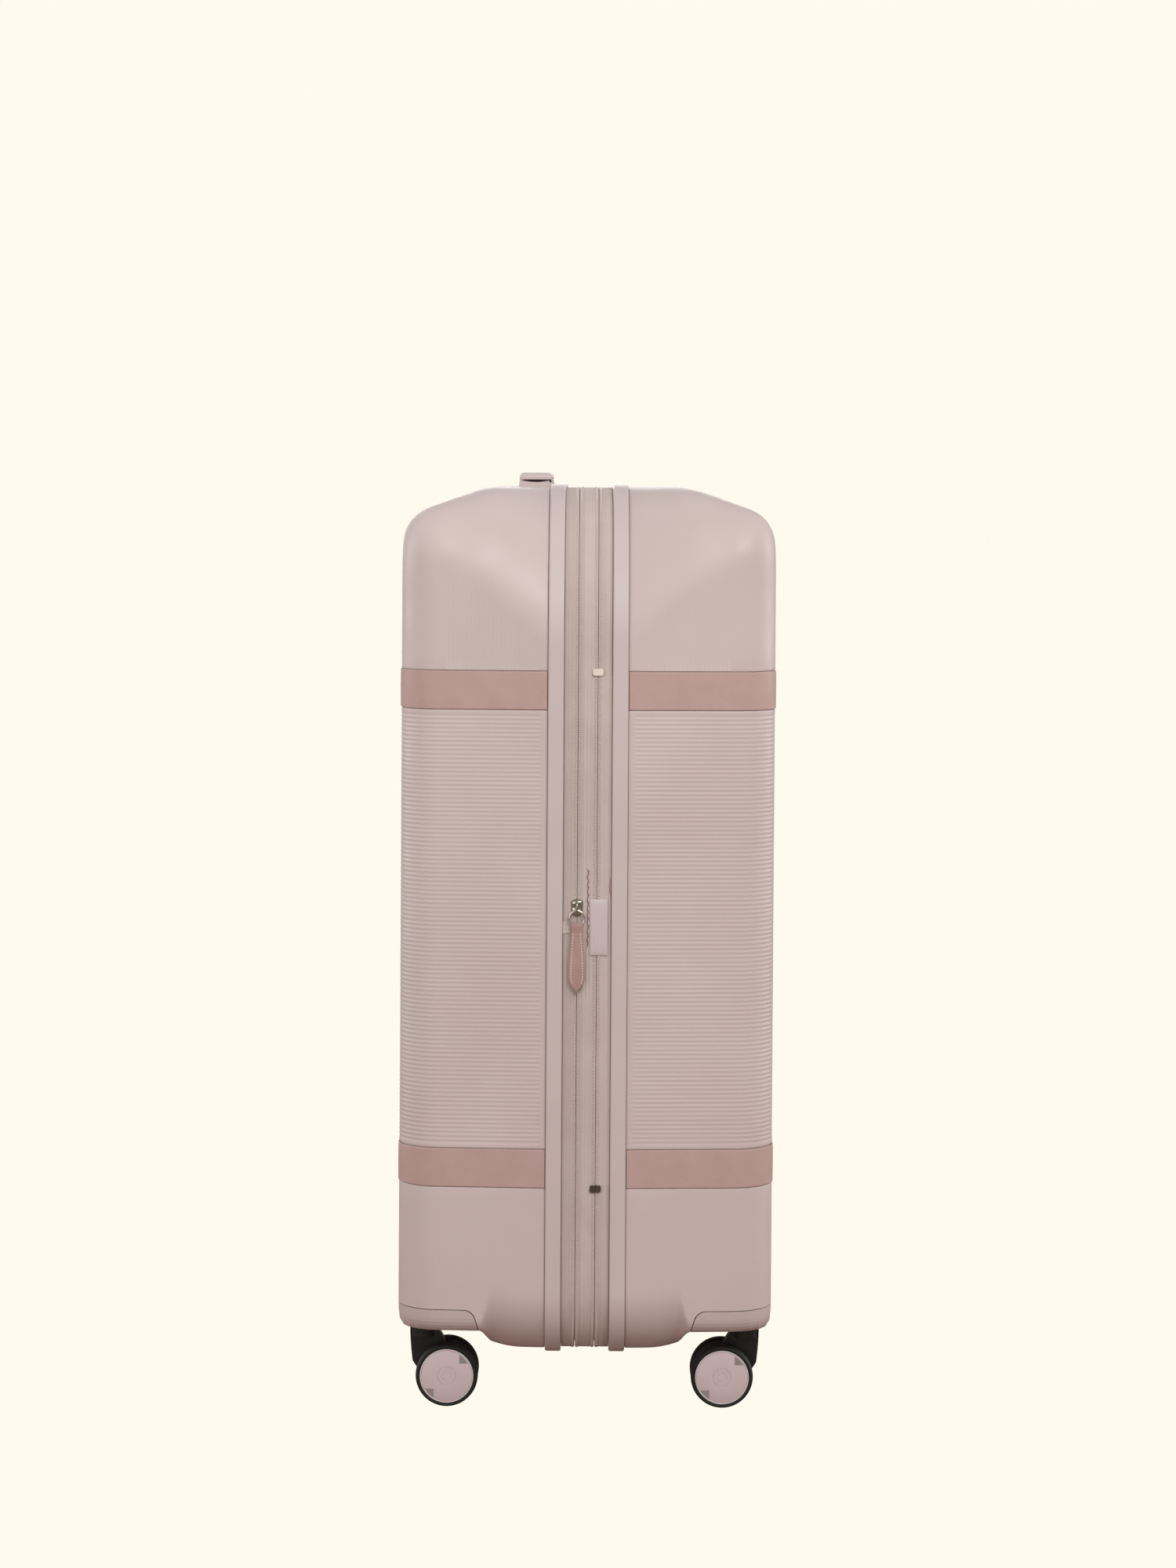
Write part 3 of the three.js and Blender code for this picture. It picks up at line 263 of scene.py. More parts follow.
def rounded(low, high, radius, steps=5):
    """A rounded rectangle's outline from low to high; radius may give one value per corner."""
    radii = [radius] * 4 if np.isscalar(radius) else radius
    corners = [(high[0], high[1]), (low[0], high[1]), (low[0], low[1]), (high[0], low[1])]
    middle = [(low[i] + high[i]) / 2 for i in (0, 1)]
    points = []
    for quarter, (corner, r) in enumerate(zip(corners, radii)):
        centre = [at - math.copysign(r, at - half) for at, half in zip(corner, middle)]
        points.append(arc(centre, max(r, 1e-3), quarter * 90, quarter * 90 + 90, steps))
    return np.vstack(points)


def prism(outline, low, high, axis, bulge=0.0):
    """An outline drawn out along an axis, with its two edges eased by bulge."""
    outline = np.asarray(outline, float)
    middle = outline.mean(0)
    reach = np.maximum(np.linalg.norm(outline - middle, axis=1, keepdims=True), 1e-6)
    levels = [(low, bulge), (high, bulge)]
    if bulge:
        levels[1:1] = [(low + bulge, 0.0), (high - bulge, 0.0)]
    rings = []
    for level, inset in levels:
        ring = middle + (outline - middle) * (1 - inset / reach)
        column = np.full((len(ring), 1), level)
        order = {"x": [column, ring], "y": [ring[:, :1], column, ring[:, 1:]], "z": [ring, column]}[axis]
        rings.append(np.hstack(order))
    return loft(rings)


def lathe(profile, centre, axis, steps=64):
    """A turned solid: profile points are (radius, along) and start and end on the axis or close up."""
    profile = np.asarray(profile, float)
    angles = np.arange(steps) * 2 * math.pi / steps
    first, last = profile[0, 0] < 1e-6, profile[-1, 0] < 1e-6
    body = profile[(1 if first else 0):(len(profile) - 1 if last else len(profile))]
    rings = []
    for radius, along in body:
        u, v = radius * np.cos(angles), radius * np.sin(angles)
        w = np.full(steps, along)
        rings.append(np.stack({"x": [w, u, v], "y": [v, w, u], "z": [u, v, w]}[axis], -1))
    faces = grid_faces(len(rings), steps, not (first or last), True)
    count = len(rings) * steps
    for flag, ring, along in ((first, 0, profile[0, 1]), (last, len(rings) - 1, profile[-1, 1])):
        if flag:
            rings.append([[along if name == axis else 0.0 for name in "xyz"]])
            faces += [[count, ring * steps + i, ring * steps + (i + 1) % steps] for i in range(steps)]
            count += 1
    return np.vstack(rings) + np.array(centre, float), faces


def tube(points, radius, closed=False, sides=10):
    """A round wire along 3-D points."""
    points = np.asarray(points, float)
    after = np.roll(points, -1, 0) if closed else np.vstack([points[1:], points[-1:]])
    before = np.roll(points, 1, 0) if closed else np.vstack([points[:1], points[:-1]])
    along = after - before
    along /= np.linalg.norm(along, axis=1, keepdims=True)
    hint = np.eye(3)[np.argmin(np.abs(along).max(0))]
    across = np.cross(along, hint)
    across /= np.linalg.norm(across, axis=1, keepdims=True)
    up = np.cross(across, along)
    angles = np.arange(sides) * 2 * math.pi / sides
    ring = across[:, None] * np.cos(angles)[None, :, None] + up[:, None] * np.sin(angles)[None, :, None]
    return loft(points[:, None] + radius * ring, closed)


# ------------------------------------------------------------------ materials

class Nodes:
    """Builds one node tree, whose patterns follow the object's own coordinates."""

    def __init__(self, tree):
        self.tree = tree
        self.coordinates = self.node("TexCoord").outputs
        self.place = self.coordinates["Object"]

    def node(self, kind, inputs=None, **settings):
        made = self.tree.nodes.new(f"ShaderNode{kind}")
        for name, value in settings.items():
            setattr(made, name, value)
        return self.feed(made, inputs or {})

    def feed(self, node, inputs):
        """Gives each input its value, or a link where the value is another node's output."""
        for name, value in inputs.items():
            if isinstance(value, bpy.types.NodeSocket):
                self.tree.links.new(value, node.inputs[name])
            else:
                node.inputs[name].default_value = value
        return node

    def feed_named(self, name, inputs):
        self.feed(self.tree.nodes[name], inputs)

    def noise(self, scale, detail=3.0, stretch=None):
        place = self.place
        if stretch:
            place = self.node("Mapping", {"Scale": stretch, "Vector": place}).outputs["Vector"]
        return self.node("TexNoise", {"Scale": scale, "Detail": detail, "Vector": place}).outputs["Fac"]

    def ramp(self, value, low, high, start=0.35, end=0.65):
        """Maps a value to a mix of two colours, or of two numbers as greys."""
        made = self.node("ValToRGB", {"Fac": value})
        for element, place, level in zip(made.color_ramp.elements, (start, end), (low, high)):
            element.position = place
            element.color = level if isinstance(level, tuple) else (level, level, level, 1)
        return made.outputs["Color"]

    def darken(self, colour, share, factor):
        """Multiplies a colour by another one, by a share of its strength."""
        return self.node("Mix", {"Factor": factor, "A": colour, "B": share},
                         data_type="RGBA", blend_type="MULTIPLY").outputs["Result"]

    def bump(self, height, distance):
        return self.node("Bump", {"Strength": 1.0, "Distance": distance, "Height": height}).outputs["Normal"]


def new_look(name):
    material = bpy.data.materials.new(name)
    material.use_nodes = True
    return material, Nodes(material.node_tree)


def srgb(channels):
    """A display colour in steps of 255 as the linear one that shaders take."""
    shares = [c / 255 for c in channels]
    return tuple(c / 12.92 if c <= 0.04 else ((c + 0.055) / 1.055) ** 2.4 for c in shares) + (1.0,)


def plastic(name, low, high, roughness, grain=0.00004, grain_scale=2200):
    """Moulded plastic: a slight cloudiness, a fine grain, and rubbed patches that are smoother."""
    material, nodes = new_look(name)
    nodes.feed_named("Principled BSDF", {
        "Base Color": nodes.ramp(nodes.noise(9), srgb(low), srgb(high)),
        "Roughness": nodes.ramp(nodes.noise(35, 6), roughness - 0.05, roughness + 0.06),
        "Normal": nodes.bump(nodes.noise(grain_scale, 2), grain),
        "Specular IOR Level": 0.42})
    return material


def metal(name, colour, roughness, stretch=(1, 1, 1), anisotropic=0.0):
    """Polished or brushed metal: fine lines that change its colour, roughness and relief."""
    material, nodes = new_look(name)
    bright = srgb(colour)
    dark = tuple(c * 0.8 for c in bright[:3]) + (1.0,)
    lines = nodes.noise(700, 4, stretch)
    nodes.feed_named("Principled BSDF", {
        "Metallic": 1.0, "Anisotropic": anisotropic,
        "Base Color": nodes.ramp(lines, dark, bright),
        "Roughness": nodes.ramp(lines, roughness - 0.06, roughness + 0.1),
        "Normal": nodes.bump(lines, 0.00002)})
    return material


def woven(name, low, high, pitch):
    """Cloth: two crossed sets of threads, painted shade in the dips between them, fuzz and slight fading."""
    material, nodes = new_look(name)
    threads = [
        nodes.node("TexWave", {"Scale": share * 0.314 / pitch, "Distortion": 0.25, "Vector": nodes.place},
                   bands_direction=direction, wave_profile="SIN").outputs["Fac"]
        for direction, share in (("DIAGONAL", 0.62), ("Z", 1.0))]
    crossing = nodes.node("Math", {0: threads[0], 1: threads[1]}, operation="MULTIPLY").outputs[0]
    faded = nodes.ramp(nodes.noise(30), srgb(low), srgb(high))
    nodes.feed_named("Principled BSDF", {
        # painted shade: the colour is darkened where the crossed threads dip, between them
        "Base Color": nodes.darken(faded, nodes.ramp(crossing, 0.55, 1.0, 0.0, 0.6), 0.25),
        "Roughness": nodes.ramp(nodes.noise(400), 0.82, 0.9),
        "Normal": nodes.bump(crossing, 0.00012),
        "Sheen Weight": 0.15, "Sheen Roughness": 0.5, "Specular IOR Level": 0.2})
    return material


def leather(name, low, high, roughness, cell=900, depth=0.00009):
    """Coated leather: pebbled cells, painted shade in the creases between them, uneven polish."""
    material, nodes = new_look(name)
    wobble = nodes.node("TexNoise", {"Scale": 300, "Vector": nodes.place}).outputs["Color"]
    small = nodes.node("VectorMath", {"Scale": 0.0012, 0: wobble}, operation="SCALE").outputs["Vector"]
    warped = nodes.node("VectorMath", {0: nodes.place, 1: small}, operation="ADD").outputs["Vector"]
    cells = nodes.node("TexVoronoi", {"Scale": cell, "Vector": warped},
                       feature="DISTANCE_TO_EDGE").outputs["Distance"]
    tone = nodes.ramp(nodes.noise(60, 5), srgb(low), srgb(high))
    nodes.feed_named("Principled BSDF", {
        # painted shade: the colour is darkened along the creases at the cell edges
        "Base Color": nodes.darken(tone, nodes.ramp(cells, 0.4, 1.0, 0.0, 0.12), 0.12),
        "Roughness": nodes.ramp(nodes.noise(120, 5), roughness - 0.08, roughness + 0.08),
        "Normal": nodes.bump(nodes.ramp(cells, 0.0, 1.0, 0.0, 0.2), depth),
        "Specular IOR Level": 0.35})
    return material


def glow(name, colour, strength):
    material, nodes = new_look(name)
    emission = nodes.node("Emission", {"Color": srgb(colour), "Strength": strength}).outputs["Emission"]
    nodes.feed_named("Material Output", {"Surface": emission})
    return material


SHELL_LOOK = plastic("shell_polycarbonate", (203, 185, 181), (208, 191, 187), 0.47)
RIM_LOOK = plastic("rim_profile", (203, 187, 184), (208, 192, 189), 0.42)
HOUSING_LOOK = plastic("corner_cover", (192, 175, 170), (198, 181, 176), 0.5)
HANDLE_LOOK = plastic("handle_grip", (201, 184, 182), (206, 189, 187), 0.48)
BAND_LOOK = leather("band_coated", (190, 158, 150), (194, 163, 156), 0.55, 1400, 0.00003)
FABRIC_LOOK = woven("zip_tape_weave", (209, 192, 185), (215, 199, 192), 0.0005)
TEETH_LOOK = plastic("zip_coil", (200, 183, 178), (206, 189, 184), 0.5)
THREAD_LOOK = plastic("seam_thread", (190, 168, 163), (206, 186, 181), 0.75)
ROSE_THREAD_LOOK = plastic("rose_thread", (146, 84, 84), (172, 112, 110), 0.75)
LINING_LOOK = woven("lining_weave", (216, 201, 195), (222, 208, 201), 0.0007)
WEBBING_LOOK = woven("strap_webbing", (160, 140, 135), (172, 152, 147), 0.0012)
LEATHER_LOOK = leather("puller_leather", (172, 139, 130), (182, 150, 141), 0.6)
STITCH_LOOK = plastic("light_thread", (226, 206, 197), (236, 218, 209), 0.75)
RING_METAL_LOOK = metal("bright_ring", (226, 220, 208), 0.14)
COVER_LOOK = plastic("soft_vinyl", (203, 188, 187), (208, 193, 192), 0.5)
NICKEL_LOOK = metal("polished_nickel", (178, 170, 154), 0.16)
GUNMETAL_LOOK = metal("gunmetal", (120, 104, 92), 0.3)
CREAM_METAL_LOOK = plastic("cream_enamel", (232, 217, 203), (240, 226, 212), 0.3)
TUBE_LOOK = metal("brushed_tube", (188, 188, 190), 0.3, (1, 1, 0.02), 0.4)
BLACK_LOOK = plastic("black_nylon", (20, 20, 16), (26, 26, 21), 0.42, 0.00003)
TYRE_LOOK = plastic("tyre_rubber", (14, 15, 11), (20, 20, 16), 0.6, 0.00006, 1500)
HUB_LOOK = plastic("hub_disc", (204, 186, 187), (208, 190, 191), 0.5)
HUB_RING_LOOK = plastic("hub_ring", (204, 198, 195), (212, 206, 203), 0.4)
FLAG_LOOK = plastic("hub_flag", (142, 132, 130), (148, 138, 136), 0.5)
TROLLEY_LOOK = plastic("trolley_plastic", (160, 143, 139), (166, 149, 145), 0.45)
BUTTON_LOOK = plastic("button_gloss", (142, 124, 120), (148, 130, 126), 0.25, 0.00001)
DIAL_LOOK = plastic("dial_black", (28, 27, 26), (34, 33, 32), 0.35, 0.00002)
BUCKLE_LOOK = plastic("buckle_plastic", (78, 68, 65), (86, 75, 72), 0.4)
FLOOR_LOOK = glow("pale_floor", (254, 250, 238), 1.0)
DUSKY_LOOK = plastic("dusky_floor", (156, 130, 119), (162, 136, 125), 0.8)

# ------------------------------------------------------------------ camera, light and floor

CAMERA_DISTANCE = 3.0
CAMERA_HEIGHT = SHELL_TOP * MM + 0.012
LENS = 87.05
PITCH = math.radians(1.2)
ROLL = math.radians(0.35)
SHIFT_X = -0.0008
SHIFT_Y = -0.1477
WORLD_STRENGTH = 0.475
WORLD_BELOW, WORLD_ABOVE = (0.7, 0.6, 0.55, 1), (1.0, 1.0, 0.985, 1)
# name, place, the point that it faces, size, watts
LAMPS = (
    ("key", (-2.2, -0.85, 2.1), (-0.2, 0, 0.5), (1.5, 1.1), 38),
    ("fill", (-2.6, 1.4, 1.0), (-0.2, 0, 0.4), (1.6, 1.6), 14),
    ("back", (2.9, 0.4, 1.0), (0.2, 0, 0.4), (1.8, 1.4), 30),
    ("rear_wash", (0.9, 2.9, 0.9), (0.1, 0, 0.4), (1.8, 1.4), 30),
    ("front_wash", (0.9, -2.9, 0.9), (0.1, 0, 0.4), (1.8, 1.4), 30),
)


def make_camera():
    data = bpy.data.cameras.new("camera")
    data.lens = LENS
    data.sensor_width = 36
    data.shift_x, data.shift_y = SHIFT_X, SHIFT_Y
    camera = bpy.data.objects.new("camera", data)
    near_rim = (CASE_X - HALF_WIDTH - RIM_PROUD) * MM
    facing = Matrix.Rotation(-math.pi / 2, 4, "Z") @ Matrix.Rotation(math.pi / 2 - PITCH, 4, "X")
    camera.matrix_world = (
        Matrix.Translation((near_rim - CAMERA_DISTANCE, 0, CAMERA_HEIGHT)) @ facing
        @ Matrix.Rotation(ROLL, 4, "Z"))
    bpy.context.scene.collection.objects.link(camera)
    bpy.context.scene.camera = camera


def make_lights():
    world = bpy.data.worlds.new("studio")
    world.use_nodes = True
    nodes = Nodes(world.node_tree)
    height = nodes.node("SeparateXYZ", {0: nodes.coordinates["Generated"]}).outputs["Z"]
    nodes.feed_named("Background", {
        "Strength": WORLD_STRENGTH, "Color": nodes.ramp(height, WORLD_BELOW, WORLD_ABOVE, 0.0, 0.25)})
    bpy.context.scene.world = world
    for name, place, target, size, power in LAMPS:
        data = bpy.data.lights.new(name, "AREA")
        data.shape = "RECTANGLE"
        data.size, data.size_y = size
        data.energy = power
        light = bpy.data.objects.new(name, data)
        turn = (Vector(target) - Vector(place)).to_track_quat("-Z", "Y").to_matrix().to_4x4()
        light.matrix_world = Matrix.Translation(place) @ turn
        bpy.context.scene.collection.objects.link(light)


def make_floor():
    """A pale floor and surround that the camera sees and the light passes through.

    The light meets a darker disc instead, which the camera doesn't see.
    """
    bpy.ops.mesh.primitive_uv_sphere_add(segments=48, ring_count=24, radius=12)
    dome = bpy.context.object
    dome.name = "surround"
    bpy.ops.mesh.primitive_circle_add(vertices=96, radius=11.5, fill_type="NGON")
    floor = bpy.context.object
    floor.name = "floor"
    for part in (dome, floor):
        part.data.materials.append(FLOOR_LOOK)
        part.visible_diffuse = part.visible_glossy = part.visible_shadow = False
        part.visible_transmission = False
    bpy.ops.mesh.primitive_circle_add(vertices=64, radius=0.75, fill_type="NGON", location=(0, 0, -0.002))
    disc = bpy.context.object
    disc.name = "floor_shade"
    disc.data.materials.append(DUSKY_LOOK)
    disc.visible_camera = False


make_camera()
make_lights()
make_floor()
bpy.context.scene.view_settings.view_transform = "Standard"

# ------------------------------------------------------------------ shells

GROOVE = 1.1
RIB_PITCH = 3.5
RIB_DEPTH = 0.32
RIB_ROWS = 5
RIB_MARGIN = 3.0
UPPER_RIB_DEPTH = 0.26
UPPER_RIB_ROWS = 4
EDGE_EASE = ((0.15, GROOVE), (0.4, 0.45), (0.9, 0.08), (1.6, 0.0))
ARC_ANGLES = [0, 8, 16, 24, 32, 40, 48, 52, 56, 60, 64, 68, 72, 75, 78, 81, 84, 87, 90]
RIM_FADE = (RIM_OUTER + 3, RIM_OUTER + 7)
GROOVES = {level: (low - SEAM, high + SEAM) for level, (low, high) in BANDS.items()}
EDGE_INSET, EDGE_INSET_REACH = 0.35, 1.2
NEAR_RIM = (SHELL_START, SHELL_START + 0.5)
FLANK_STATIONS = (46, 56, 70, 85, 100)
BELLY_STATIONS = (44, BELLY_CURVE_START, 56, 62, 68)
BELLY_FACE_STATIONS = (90, 100, 108)
FREE_ROWS, ROUND_STEPS, FLAT_STEPS = 9, 14, 12


def plan_curve(side_ys, arc_angles=ARC_ANGLES, face_steps=16):
    """The upright walls seen from above: points and outward normals."""
    flank = np.array([(half_width_at(y), y) for y in side_ys if y < ARC_START])
    flank_normal = np.array([math.cos(math.atan(DRAFT)), math.sin(math.atan(DRAFT))])
    base = half_width_at(ARC_START) - FACE_ROUND
    turn = np.radians(arc_angles)
    bend = np.stack([base + FACE_ROUND * np.cos(turn), ARC_START + FACE_ROUND * np.sin(turn)], -1)
    points = np.vstack([flank, bend])
    normals = np.vstack([np.tile(flank_normal, (len(flank), 1)), np.stack([np.cos(turn), np.sin(turn)], -1)])
    face_x = np.linspace(base, -base, face_steps + 1)[1:-1]
    face = np.stack([face_x, np.full(len(face_x), FACE_Y)], -1)
    face_normals = np.tile([0.0, 1.0], (len(face), 1))
    flip = (-1, 1)
    return (np.vstack([points, face, points[::-1] * flip]),
            np.vstack([normals, face_normals, normals[::-1] * flip]))


def rib_wave(distance):
    return -(0.5 - 0.5 * np.cos(2 * math.pi * distance / RIB_PITCH))


def edge_inset(y):
    """How far the skin is pushed out at y: a little inwards where it meets the rim."""
    return -EDGE_INSET * (1 - smooth(SHELL_START, SHELL_START + EDGE_INSET_REACH, y))


def middle_zone(side):
    """The ribbed wall between the two bands, with its ends let in under them."""
    points, normals = plan_curve([*NEAR_RIM, *np.linspace(*RIM_FADE, 4), *FLANK_STATIONS])
    low, high = GROOVES["lower"][1], GROOVES["upper"][0]
    ribs = int((high - low - 2 * RIB_MARGIN) / RIB_PITCH)
    start = (low + high - ribs * RIB_PITCH) / 2
    distance = np.linspace(0, ribs * RIB_PITCH, ribs * RIB_ROWS + 1)
    half_band = (GROOVES["lower"][1] - GROOVES["lower"][0]) / 2
    ends = [(-half_band, -GROOVE, 0.0)] + [(away, -deep, 0.0) for away, deep in EDGE_EASE]
    rows = [(low + away, deep, wave) for away, deep, wave in ends]
    rows += [(start + at, 0.0, rib_wave(at)) for at in distance]
    rows += [(high - away, deep, wave) for away, deep, wave in reversed(ends)]
    levels, offsets, waves = (np.array(column) for column in zip(*rows))
    fade = smooth(*RIM_FADE, points[:, 1])
    push = offsets[:, None] + RIB_DEPTH * waves[:, None] * fade[None, :] + edge_inset(points[:, 1])[None, :]
    flat = points[None] + normals[None] * push[..., None]
    made = np.stack([flat[..., 0], side * flat[..., 1], np.broadcast_to(levels[:, None], push.shape)], -1)
    return made.reshape(-1, 3), grid_faces(len(rows), len(points))


def end_stations(upward):
    """(y, angle round the face arc or None, rib push) for each ring of an end zone."""
    near = [*NEAR_RIM, SHELL_START + EDGE_INSET_REACH, *RIM_FADE]
    if upward:
        ribs = int((ARC_START - RIM_FADE[1]) / RIB_PITCH)
        distance = np.linspace(0, ribs * RIB_PITCH, ribs * UPPER_RIB_ROWS + 1)
        start = (ARC_START + RIM_FADE[1] - ribs * RIB_PITCH) / 2
        waves = [(start + at, None, UPPER_RIB_DEPTH * rib_wave(at)) for at in distance]
    else:
        near += BELLY_STATIONS
        steps = np.linspace(BELLY_STEP_START, BELLY_STEP_END, 7)
        waves = [(y, None, 0.0) for y in (*steps, *BELLY_FACE_STATIONS)]
    turns = np.radians(ARC_ANGLES)
    arcs = [(ARC_START + FACE_ROUND * math.sin(turn), turn, 0.0) for turn in turns]
    arcs[0] = (ARC_START + 0.01, turns[0], 0.0)
    return [(y, None, 0.0) for y in near] + waves + arcs


def end_ring(y, angle, wave, upward, edge, eased):
    """One ring of an end zone: up the wall, round the corner, across, and down the other side."""
    sign = 1 if upward else -1
    if angle is None:
        half, turn = half_width_at(y), math.atan(DRAFT)
    else:
        half, turn = half_width_at(ARC_START) - FACE_ROUND + FACE_ROUND * math.cos(angle), angle
    limit, radius = (top_at(y), top_radius_at(y)) if upward else (bottom_at(y), bottom_radius_at(y))
    straight_end, inset = limit - sign * radius, edge_inset(y)
    levels = [edge + sign * away for away, _ in eased]
    levels += list(np.linspace(levels[-1], straight_end, FREE_ROWS + 1)[1:])
    ribbed = np.ones(len(levels))
    ribbed[:len(eased) - 1] = ribbed[-1] = 0
    push = np.r_[[deep for _, deep in eased], np.zeros(FREE_ROWS)] + wave * ribbed + inset
    wall = np.stack([half + push * math.cos(turn), y + push * math.sin(turn), levels], -1)
    swing = np.linspace(0, math.pi / 2, ROUND_STEPS + 1)
    rounding = np.stack([
        half - radius + (radius + inset) * np.cos(swing), np.full(len(swing), y),
        straight_end + sign * (radius + inset) * np.sin(swing)], -1)
    across = np.linspace(half - radius, radius - half, FLAT_STEPS + 1)[1:-1]
    flat = np.stack([across, np.full(len(across), y), np.full(len(across), limit + sign * inset)], -1)
    flip = (-1, 1, 1)
    return np.vstack([wall, rounding[1:], flat, rounding[::-1][:-1] * flip, wall[::-1] * flip])


def end_zone(side, upward):
    """The dome above the upper band, or the belly below the lower one, closed by its part of the face."""
    edge = GROOVES["upper"][1] if upward else GROOVES["lower"][0]
    half_band = (GROOVES["upper"][1] - GROOVES["upper"][0]) / 2
    eased = [(-half_band - 0.5, -GROOVE)] + [(away, -deep) for away, deep in EDGE_EASE]
    rings = [end_ring(*station, upward, edge, eased) * (1, side, 1) for station in end_stations(upward)]
    rows, columns = len(eased) + FREE_ROWS, 2 * ROUND_STEPS + FLAT_STEPS + 1
    last_ring, count = rings[-1], len(rings[0])
    points, faces = np.vstack(rings), grid_faces(len(rings), count)
    # the face is a table of points: its left, far and right sides are the last ring
    last = len(points) - count
    table = np.zeros((rows, columns), int)
    table[:, 0] = last + np.arange(rows)
    table[-1, :] = last + rows - 1 + np.arange(columns)
    table[:, -1] = last + count - 1 - np.arange(rows)
    fixed = len(eased) - 1
    start, stop = last_ring[fixed][2], last_ring[rows - 1][2]
    inner = []
    for row in range(rows - 1):
        for column in range(1, columns - 1):
            x, _, z = last_ring[rows - 1 + column]
            level = last_ring[row][2]
            if row > fixed:
                level = start + (level - start) * (z - start) / (stop - start)
            table[row, column] = len(points) + len(inner)
            inner.append((x, last_ring[row][1], level))
    for row, below in zip(table, table[1:]):
        faces += [[row[i], row[i + 1], below[i + 1], below[i]] for i in range(columns - 1)]
    return np.vstack([points, inner]), faces


def box_part(low, high):
    corners = [(x, y, z) for z in (low[2], high[2]) for y in (low[1], high[1]) for x in (low[0], high[0])]
    faces = [[0, 2, 3, 1], [4, 5, 7, 6], [0, 1, 5, 4], [2, 6, 7, 3], [0, 4, 6, 2], [1, 3, 7, 5]]
    return np.array(corners), faces


def thicken(piece, inside):
    """Gives an open skin the wall's thickness, inwards."""
    work = bmesh.new()
    work.from_mesh(piece.data)
    work.faces.ensure_lookup_table()
    face = work.faces[0]
    if face.normal.dot(face.calc_center_median() - Vector(inside)) < 0:
        bmesh.ops.reverse_faces(work, faces=work.faces)
    work.to_mesh(piece.data)
    work.free()
    solid = piece.modifiers.new("wall", "SOLIDIFY")
    solid.thickness = WALL * MM
    solid.offset = -1
    solid.use_even_offset = False
    apply_modifiers(piece)


HOUSING_GAP = 0.35
HOUSING_TOP = HOUSING_HIGH[2] + SEAM + HOUSING_GAP
HOUSING_CORNER = 10
HOUSING_SLANT = math.radians(16)
HOUSING_INNER_Y = FACE_Y - 63 - HOUSING_GAP
HOUSING_INNER_X = HALF_WIDTH - 100 - HOUSING_GAP
CLEAR = 60


def housing_outline(inner, outer):
    across, up = inner + HOUSING_CORNER, HOUSING_TOP - HOUSING_CORNER
    bend = arc((across, up), HOUSING_CORNER, 90, 180 - math.degrees(HOUSING_SLANT), 10)
    x, z = bend[-1]
    foot = (x - (z + 1) * math.tan(HOUSING_SLANT), -1)
    return np.vstack([(outer, -1), (outer, HOUSING_TOP), bend, foot])


def pocket_part(hand, side):
    """The block that a corner housing fills."""
    reach_y, reach_x = FACE_Y + CLEAR, HALF_WIDTH + CLEAR
    along_x = prism(housing_outline(HOUSING_INNER_Y, reach_y), 0, reach_x, "x")
    along_y = prism(housing_outline(HOUSING_INNER_X, reach_x), 0, reach_y, "y")
    block = mesh_piece("pocket", [along_x], SHELL_LOOK)
    combine(block, mesh_piece("pocket_other", [along_y], SHELL_LOOK), "INTERSECT")
    points, faces = part_of(block)
    return points * (hand, side, 1), faces


LOCK_LEDGE = 3


def openings(half, side):
    """Solids to take out of one half's skin: corner pockets, and where the hardware goes through."""
    cutters = {"lower": [pocket_part(hand, side) for hand in (-1, 1)], "upper": [], "middle": []}
    if half == "front":
        low, high = box_mm("lock_housing")
        inset = np.array((0, LOCK_LEDGE, LOCK_LEDGE))
        cutters["middle"].append(box_part(low + inset, high - inset + (5, 0, 0)))
    else:
        low, high = box_mm("trolley_bay")
        cutters["upper"].append(box_part(low - SEAM, (high[0] + SEAM, FACE_Y + 20, SHELL_TOP)))
    return cutters


def make_shell(half, side):
    cutters = openings(half, side)
    zones = {"middle": middle_zone(side), "upper": end_zone(side, True), "lower": end_zone(side, False)}
    parts = []
    for zone, skin in zones.items():
        made = mesh_piece(zone, [skin], SHELL_LOOK)
        thicken(made, (CASE_X * MM, 0, (SHELL_TOP + BELLY_BOTTOM) / 2 * MM))
        for cutter in cutters[zone]:
            combine(made, mesh_piece("cutter", [cutter], SHELL_LOOK), "DIFFERENCE")
        parts.append(part_of(made))
    mesh_piece(f"{half}_shell_skin", parts, SHELL_LOOK, f"{half}_half", [f"{half}_shell"], 35)


BAND_CROWN, BAND_EDGE, BAND_STRIP_DEPTH = 0.12, 0.55, 0.7
BAND_STATIONS = (SHELL_START + SEAM, SHELL_START + 1, 45, 70, 95)


def make_band(half, side, level):
    """A strip that lies in its groove round one half, crowned across its width."""
    low, high = BANDS[level]
    middle, half_high = (low + high) / 2, (high - low) / 2
    side_level = box_mm(f"{half}_band_{level}")[1][0] - HALF_WIDTH - BAND_CROWN
    outline = rounded((-BAND_STRIP_DEPTH, low), (side_level, high), [BAND_EDGE, BAND_EDGE, 0.1, 0.1])
    share = (outline[:, 1] - middle) / half_high
    outline[:, 0] += np.where(outline[:, 0] > 0, BAND_CROWN * (1 - share ** 2), 0)
    face = np.linspace(high - 1.2, low + 1.2, 10)
    lift = side_level + BAND_CROWN * (1 - ((face - middle) / half_high) ** 2)
    corners = outline[:6][::-1], outline[18:][::-1], outline[6:18][::-1]
    profile = np.vstack([corners[0], np.stack([lift, face], -1), *corners[1:]])
    points, normals = plan_curve(BAND_STATIONS, face_steps=10)
    name = f"{half}_band_{level}"
    mesh_piece(f"{name}_strip", [sweep(points, normals, profile, "z", False, side)], BAND_LOOK,
               f"{half}_half", [name], 50)


# ------------------------------------------------------------------ rims, tapes and zips

